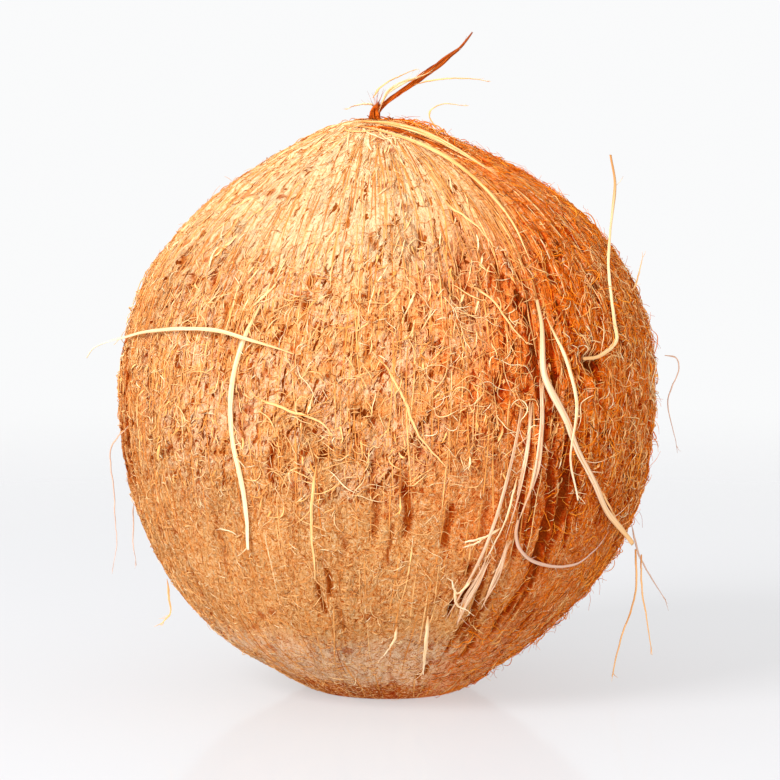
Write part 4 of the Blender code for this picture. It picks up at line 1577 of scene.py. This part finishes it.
        centres = self.ground.settled(centres, 0.6 * radii)
        gathering = Gathering()
        gathering.add(Tubes(centres, radii, up, 8, 0.7, angle, (3, 0.12)), 4.0)
        if sheaf.barbs:
            fine = 0.5 * sheaf.thickness[0]
            gathering.add(self.side_fibres(line, rng, sheaf.barbs, (0.05, 0.95), (1.5, 4.5), fine), 1.0)
        self.hand_over(gathering, sheaf)


STRANDS = (
    Strand("crown_long_fibre", Slot.GOLDEN, Look.GOLDEN, 0.25, (
        off(5.6, -1.4, 120.8), off(8.4, -1.6, 121.5), off(11.8, -2.6, 121.9), off(16.0, -3.2, 122.0),
        off(20.2, -3.4, 121.4)), barbs=1),
    Strand("crown_arc_fibre", Slot.GOLDEN, Look.GOLDEN, 0.25, (
        off(-2.6, -1.0, 118.2), off(-1.2, 1.0, 120.2), off(1.6, 2.4, 122.0), off(5.8, 3.4, 123.8)), barbs=1),
    Strand("crown_left_fibre", Slot.GOLDEN, Look.BROWNED, 0.3, (
        off(-1.6, 1.6, 116.4), off(-4.2, 1.2, 117.0), off(-7.2, 0.6, 116.3))),
    Strand("crown_curl", Slot.GOLDEN, Look.GOLDEN, 0.2, (
        off(10.6, -2.4, 111.6), off(9.2, -2.0, 113.4), off(8.6, -1.6, 115.0), off(9.5, -1.2, 116.2),
        off(11.7, -1.0, 117.0), off(16.3, -0.6, 116.6)), barbs=1),
    Strand("ridge_strand", Slot.PALE, Look.WEATHERED, 0.68, (
        on(28.0, 80.5, 1.0), on(29.0, 75.0, 1.0), on(29.5, 68.0, 1.0), on(30.5, 64.0, 1.0),
        on(33.5, 58.0, 1.0), on(36.0, 52.0, 1.1), on(39.0, 46.0, 1.3), on(42.0, 39.5, 1.8),
        off(48.2, -18.5, 31.6)), root=0.5, tip=0.7, frays=0, barbs=5),
    Strand("ridge_tail_inner", Slot.PALE, Look.GOLDEN, 0.3, (
        off(48.8, -17.4, 30.2), off(49.2, -15.0, 22.5), off(48.4, -12.0, 17.5), off(46.8, -11.0, 12.5),
        off(45.8, -10.0, 8.5), off(45.0, -9.0, 3.6)), root=0.9, tip=0.6),
    Strand("ridge_tail_outer", Slot.PALE, Look.GOLDEN, 0.25, (
        off(50.0, -16.5, 29.0), off(50.5, -11.5, 22.0), off(52.0, -7.5, 14.0), off(53.0, -6.5, 7.5)),
        root=0.9, tip=0.4),
    Strand("ridge_twin", Slot.PALE, Look.GOLDEN, 0.3, (
        on(40.4, 44.5, 1.0), on(43.8, 38.6, 1.0), on(45.6, 34.6, 1.0))),
    Strand("ridge_companion", Slot.PALE, Look.CREAM, 0.35, (
        on(30.0, 77.5, 0.8), on(33.0, 70.0, 1.6), on(34.5, 61.0, 2.6), on(34.0, 51.0, 2.6),
        on(36.0, 42.5, 1.6)), tip=0.7),
    Strand("upright_strand", Slot.PALE, Look.BROWNED, 0.4, (
        on(37.6, 69.4, 0.9), on(40.8, 69.6, 1.1), on(43.4, 72.0, 1.2), on(43.2, 75.0, 1.2),
        on(42.4, 80.4, 1.3), on(42.0, 86.0, 2.0), off(43.4, -18.0, 91.2), off(44.2, -12.5, 96.0),
        off(45.0, -8.0, 101.4), off(44.2, -6.0, 107.0)), root=0.7, tip=0.75, frays=0, barbs=3),
    Strand("suture_loop", Slot.SUTURE, Look.LILAC, 0.3, (
        on(24.8, 39.4, 0.7), on(24.2, 36.8, 0.9), on(25.0, 33.6, 1.2), on(27.6, 31.0, 1.2),
        on(32.0, 29.4, 1.2), on(36.2, 29.4, 1.2), on(40.2, 31.2, 1.2), on(42.0, 33.0, 1.0)), root=0.9),
    Strand("suture_thin_line", Slot.PALE, Look.CREAM, 0.26, (
        on(24.5, 48.0, 0.7), on(22.5, 40.0, 0.8), on(19.0, 32.0, 0.7)), extra=True),
    Strand("upper_fork", Slot.PALE, Look.CREAM, 0.3, (
        on(21.5, 38.0, 0.6), on(18.5, 36.5, 1.1), on(14.5, 36.0, 1.6)), extra=True),
    Strand("upper_fork_prong", Slot.PALE, Look.CREAM, 0.26, (
        on(18.2, 36.3, 1.1), on(16.8, 35.6, 1.3), on(14.2, 35.0, 1.5)), frays=0, extra=True),
    Strand("lower_fork", Slot.PALE, Look.CREAM, 0.28, (
        on(16.2, 28.0, 0.6), on(14.6, 26.2, 1.0), on(13.1, 25.6, 1.3), on(12.2, 28.4, 1.6)), extra=True),
    Strand("lower_fork_prong", Slot.PALE, Look.CREAM, 0.26, (
        on(12.9, 26.6, 1.2), on(13.0, 24.2, 1.2), on(13.8, 22.5, 1.3), on(15.4, 21.9, 1.4)), extra=True),
    Strand("low_long_fibre", Slot.PALE, Look.GOLDEN, 0.28, (
        on(-13.0, 50.5, 0.5), on(-14.0, 41.0, 0.6), on(-13.5, 27.5, 0.5)),
        flatness=0.4, barbs=1, extra=True),
    Strand("cross_strand", Slot.PALE, Look.CREAM, 0.35, (
        on(-17.2, 71.0, 0.7), on(-20.4, 72.0, 0.9), on(-25.4, 73.2, 2.2), on(-30.8, 74.4, 2.4),
        on(-37.4, 74.6, 1.6), on(-45.2, 73.4, 1.6), off(-53.0, -9.0, 70.8), off(-57.6, -6.0, 69.0),
        off(-59.4, -5.0, 66.8)), tip=0.45, frays=0),
    Strand("hanging_strand", Slot.PALE, Look.CREAM, 0.45, (
        on(-23.5, 80.0, 0.8), on(-27.0, 72.5, 0.8), on(-29.0, 64.0, 0.9), on(-28.5, 54.5, 0.9),
        on(-26.5, 43.5, 1.0), on(-26.0, 33.5, 1.0)), tip=0.8, frays=1, barbs=4),
    Strand("shoulder_fibre", Slot.PALE, Look.GOLDEN, 0.25, (
        on(11.2, 99.0, 0.7), on(12.8, 97.8, 0.7), on(17.0, 94.6, 0.7), on(20.2, 90.6, 0.7)), barbs=4),
    Strand("upper_slant_fibre", Slot.PALE, Look.GOLDEN, 0.25, (
        on(15.4, 84.0, 0.7), on(19.8, 81.0, 0.7), on(23.2, 76.4, 0.7), on(26.0, 72.6, 0.7)), barbs=4),
    Strand("middle_slant_fibre", Slot.PALE, Look.GOLDEN, 0.25, (
        on(-1.0, 70.5, 0.7), on(3.0, 64.0, 0.7), on(6.0, 56.5, 0.7), on(11.5, 50.0, 0.7)),
        barbs=4, strays=0.3),
    Strand("left_slant_fibre", Slot.PALE, Look.GOLDEN, 0.25, (
        on(-24.4, 62.6, 0.7), on(-18.4, 60.6, 0.8), on(-12.0, 58.6, 0.8), on(-10.0, 56.0, 0.7)),
        barbs=3, strays=0.3),
    Strand("foot_tag_left", Slot.PALE, Look.CREAM, 0.25, (
        on(2.2, 18.2, 0.7), on(1.6, 15.8, 1.2), on(-0.4, 12.4, 1.6)), barbs=3),
    Strand("foot_tag_right", Slot.PALE, Look.CREAM, 0.35, (
        on(8.0, 20.5, 0.8), on(7.5, 14.5, 1.4), on(7.0, 8.0, 1.8)), barbs=4),
    Strand("left_thread_long", Slot.GOLDEN, Look.LILAC, 0.2, (
        on(-50.6, 54.2, 0.7), off(-54.4, -9.0, 48.8), off(-54.0, -7.0, 39.6), off(-53.6, -6.0, 31.8),
        off(-54.0, -5.5, 27.4), off(-54.8, -5.0, 23.6)), barbs=1, strays=0.3),
    Strand("left_thread_short", Slot.GOLDEN, Look.LILAC, 0.2, (
        off(-49.6, -13.0, 38.8), off(-50.0, -9.0, 35.0), off(-50.2, -7.0, 30.0), off(-49.6, -6.0, 25.4)),
        barbs=1),
    Strand("left_foot_tag", Slot.GOLDEN, Look.GOLDEN, 0.25, (
        off(-43.2, -12.0, 23.6), off(-43.0, -8.0, 18.4), off(-43.0, -6.5, 15.8), off(-45.0, -5.5, 13.4))),
    Strand("right_rear_strand", Slot.GOLDEN, Look.LILAC, 0.3, (
        off(48.4, -12.0, 34.4), off(50.4, -4.0, 27.6), off(53.2, 1.0, 22.4), off(56.6, 4.0, 17.0)), barbs=0),
    Strand("right_curl", Slot.GOLDEN, Look.LILAC, 0.2, (
        off(55.2, -6.0, 67.4), off(57.6, -4.0, 66.8), off(58.2, -3.6, 64.4), off(56.9, -3.6, 60.8),
        off(56.1, -3.6, 57.4), off(57.6, -3.0, 50.6), off(58.2, -3.0, 47.6)), barbs=1),
    Strand("shoulder_curl", Slot.PALE, Look.GOLDEN, 0.28, (
        off(44.5, -14.0, 82.5), off(47.5, -12.0, 80.5), off(49.0, -11.0, 82.0), off(50.5, -9.0, 87.0)),
        extra=True),
)

SHEAVES = (
    Sheaf("crown_tuft", Slot.STALK, Look.STALK, (
        off(-2.2, -2.2, 113.8), off(-1.4, -2.0, 115.8), off(0.6, -1.6, 117.8), off(3.2, -1.0, 119.6),
        off(6.8, 0.0, 122.2), off(9.8, 0.6, 124.3), off(13.2, 1.0, 126.8), off(15.4, 1.2, 128.8),
        off(17.2, 1.2, 131.2)), 16, 0.74, 0.7, (0.10, 0.26), 8.0, 0.5, 14),
    Sheaf("tuft_clump", Slot.STALK, Look.STALK, (
        off(-2.6, -2.6, 113.2), off(-2.2, -2.4, 115.0), off(-1.4, -2.0, 117.4)),
        22, 1.5, 1.2, (0.10, 0.28), 2.0, 0.2, 20, extra=True),
    Sheaf("tuft_eye", Slot.STALK, Look.BROWNED, (
        off(-1.8, -2.4, 114.6), off(-0.6, -2.4, 117.4), off(0.6, -2.2, 119.4), off(3.4, -2.0, 121.2),
        off(6.6, -1.6, 122.4), off(9.4, -1.0, 123.4)), 6, 0.35, 0.3, (0.10, 0.2), 4.0, 0.4, 4, extra=True),
    Sheaf("rim_fibre", Slot.GOLDEN, Look.GOLDEN, (
        on(-8.5, 113.0, 0.7), on(-3.5, 112.5, 0.9), on(4.0, 110.5, 0.9), on(11.5, 107.0, 0.9),
        on(18.0, 101.5, 0.9), on(23.5, 95.0, 0.8), on(27.0, 88.0, 0.7)),
        7, 0.45, 0.3, (0.14, 0.28), 5.0, 0.3, 8),
    Sheaf("rim_short_fibre", Slot.GOLDEN, Look.GOLDEN, (
        on(-5.0, 113.5, 0.8), on(0.5, 113.0, 1.0), on(8.0, 111.0, 1.0), on(15.0, 107.5, 0.9),
        on(22.0, 103.0, 0.7)),
        11, 0.8, 0.3, (0.14, 0.3), 3.0, 0.4, 6),
    # Painted shade: a dark red sheaf laid between the rim ropes, where their shade falls.
    Sheaf("rim_shade_strips", Slot.STALK, Look.STALK, (
        on(-5.6, 113.0, 0.4), on(-3.0, 113.0, 0.5), on(1.4, 112.2, 0.5), on(6.0, 111.0, 0.5),
        on(10.2, 109.2, 0.5), on(13.4, 107.4, 0.4)), 9, 0.9, 0.2, (0.14, 0.32), 1.0, 0.4, 4, extra=True),
    Sheaf("suture_bundle_outer", Slot.SUTURE, Look.GREY, (
        on(29.0, 66.0, 0.7), on(28.5, 57.0, 0.7), on(27.5, 47.5, 0.7), on(25.0, 39.0, 0.7)),
        5, 0.55, 0.2, (0.16, 0.32), 0.5, 0.6, 4),
    Sheaf("suture_middle_line", Slot.SUTURE, Look.GREY, (
        on(27.0, 62.0, 0.6), on(26.5, 53.5, 0.6), on(25.0, 45.0, 0.6), on(22.5, 35.5, 0.6)),
        4, 0.3, 0.15, (0.14, 0.26), 0.6, 0.6, 4, extra=True),
    Sheaf("suture_bundle_inner", Slot.SUTURE, Look.GREY, (
        on(25.5, 61.0, 0.7), on(23.5, 50.5, 0.7), on(20.5, 39.5, 0.7), on(17.0, 30.0, 0.7),
        on(11.5, 19.5, 0.7)), 6, 0.6, 0.2, (0.16, 0.34), 0.6, 0.75, 8),
    Sheaf("suture_foot_bundle", Slot.SUTURE, Look.GREY, (
        on(23.0, 35.6, 0.7), on(21.8, 31.2, 0.7), on(19.5, 26.0, 0.7), on(17.9, 21.4, 0.7)),
        6, 0.75, 0.2, (0.14, 0.3), 0.5, 0.5, 5),
    Sheaf("suture_foot_inner", Slot.SUTURE, Look.GREY, (
        on(19.6, 32.6, 0.6), on(17.4, 27.6, 0.6), on(15.2, 22.8, 0.6), on(13.4, 17.6, 0.5)),
        5, 0.7, 0.2, (0.14, 0.28), 0.5, 0.5, 5, extra=True),
)


# ---------------------------------------------------------------- the studio


@dataclass
class Studio:
    """A bright table-top studio: pale glossy floor, big soft lights and the camera."""

    scale: float
    aim: tuple[float, float, float] = (0.8, 0.0, 60.0)
    lens: float = 150.0
    sensor: float = 36.0
    frame_width: float = 156.0
    elevation: float = 5.0
    floor_rings: tuple[float, ...] = (60.0, 200.0, 800.0, 4000.0)
    floor_sides: int = 96
    floor_fade_m: tuple[float, float] = (0.16, 0.65)
    floor_colour: Colour = (0.28, 0.28, 0.29)
    floor_glow: float = 0.52

    def build(self) -> None:
        """Set the view transform, then floor, sky, lights and camera."""
        scene = bpy.context.scene
        scene.view_settings.view_transform = "Standard"
        self.floor()
        self.sky(scene)
        self.light("key", (-680.0, -700.0, 660.0), 520.0, 14.2)
        self.light("front", (60.0, -1000.0, 160.0), 600.0, 6.4)
        self.camera(scene)

    def floor(self) -> None:
        """A wide round disc under the nut, which fades into the surround far out.

        Rings of points on a grid of turn and radius, closed at the middle.
        """
        radii = np.array(self.floor_rings)
        sides, count = self.floor_sides, len(radii)
        turn = np.linspace(0.0, 2.0 * np.pi, sides + 1)[:-1]
        ring = np.stack([np.cos(turn), np.sin(turn), np.zeros_like(turn)], -1)
        points = np.vstack([(radii[:, None, None] * ring).reshape(-1, 3), [0.0, 0.0, 0.0]])
        number = np.arange(count * sides).reshape(count, sides)
        turned = np.roll(number, -1, axis=1)
        quads = ring_quads(number)
        fans = np.stack([np.full(sides, count * sides), number[0], turned[0]], -1)
        places = 0.5 + 0.5 * points[:, :2] / radii[-1]
        disc = MeshWork(self.scale).make("studio_floor", points, [quads, fans], [places[quads], places[fans]])
        bench = Bench("studio_floor")
        far = bench.node("ShaderNodeVectorMath", operation="LENGTH")
        bench.join(bench.node("ShaderNodeTexCoord").outputs["Object"], far.inputs[0])
        fade = bench.span(far.outputs["Value"], *self.floor_fade_m, 1.0, 0.0)
        bench.join(fade, bench.shader.inputs["Alpha"])
        bench.shader.inputs["Coat Weight"].default_value = 0.25
        bench.shader.inputs["Coat Roughness"].default_value = 0.1
        bench.shader.inputs["Emission Color"].default_value = (1.0, 1.0, 1.0, 1.0)
        bench.shader.inputs["Emission Strength"].default_value = self.floor_glow
        disc.data.materials.append(bench.finish(self.floor_colour, 0.6))

    @staticmethod
    def sky(scene: bpy.types.Scene) -> None:
        """An even surround, white to look at and softer as a light."""
        world = bpy.data.worlds.new("studio")
        world.use_nodes = True
        tree = world.node_tree
        soft = tree.nodes["Background"]
        soft.inputs["Color"].default_value = (0.97, 0.98, 1.0, 1.0)
        soft.inputs["Strength"].default_value = 0.85
        white = tree.nodes.new("ShaderNodeBackground")
        white.inputs["Color"].default_value = (0.955, 0.96, 0.965, 1.0)
        seen = tree.nodes.new("ShaderNodeLightPath")
        mixed = tree.nodes.new("ShaderNodeMixShader")
        tree.links.new(seen.outputs["Is Camera Ray"], mixed.inputs["Fac"])
        tree.links.new(soft.outputs["Background"], mixed.inputs[1])
        tree.links.new(white.outputs["Background"], mixed.inputs[2])
        tree.links.new(mixed.outputs["Shader"], tree.nodes["World Output"].inputs["Surface"])
        scene.world = world

    def light(self, name: str, place: tuple[float, float, float], size: float, power: float) -> None:
        """A square soft light that faces the nut."""
        lamp = bpy.data.lights.new(name, "AREA")
        lamp.size = size * self.scale
        lamp.energy = power
        thing = bpy.data.objects.new(name, lamp)
        thing.location = Vector(place) * self.scale
        aim = Vector(self.aim) * self.scale - thing.location
        thing.rotation_euler = aim.to_track_quat("-Z", "Y").to_euler()
        bpy.context.scene.collection.objects.link(thing)

    def camera(self, scene: bpy.types.Scene) -> None:
        """The camera stands back along -Y, a few degrees above the nut's middle."""
        lens = bpy.data.cameras.new("camera")
        lens.lens = self.lens
        lens.sensor_width = self.sensor
        away = self.frame_width * self.lens / self.sensor
        tilt = math.radians(self.elevation)
        thing = bpy.data.objects.new("camera", lens)
        step = Vector((0.0, -math.cos(tilt), math.sin(tilt))) * away
        thing.location = (Vector(self.aim) + step) * self.scale
        thing.rotation_euler = (math.radians(90.0) - tilt, 0.0, 0.0)
        scene.collection.objects.link(thing)
        scene.camera = thing


def main() -> None:
    """Build the nut, its fibres and the studio, in order."""
    logging.basicConfig(level=logging.INFO, format="%(name)s: %(message)s")
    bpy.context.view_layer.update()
    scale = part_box(NUT_NODE)[1].z / NUT_DESIGN_HEIGHT
    form = NutForm()
    ground = Ground(form, Carpels(form))
    work = MeshWork(scale)
    HuskSkin(work, ground).build()
    cover = CoirCover(work, ground)
    coir = CoirFinish("coir", DARK_TO_CREAM).material()
    amber = CoirFinish("amber_coir", AMBER_TO_CREAM).material()
    for coat in Coat:
        cover.grow(coat.value, amber if coat.value.where == "right" else coir, Slot.GOLDEN)
    maker = StrandMaker(work, ground)
    for index, strand in enumerate(STRANDS):
        maker.lay(strand, STRAND_SEEDS + index)
    for index, sheaf in enumerate(SHEAVES):
        maker.bind(sheaf, SHEAF_SEEDS + index)
    Studio(scale).build()


if __name__ == "__main__":
    main()
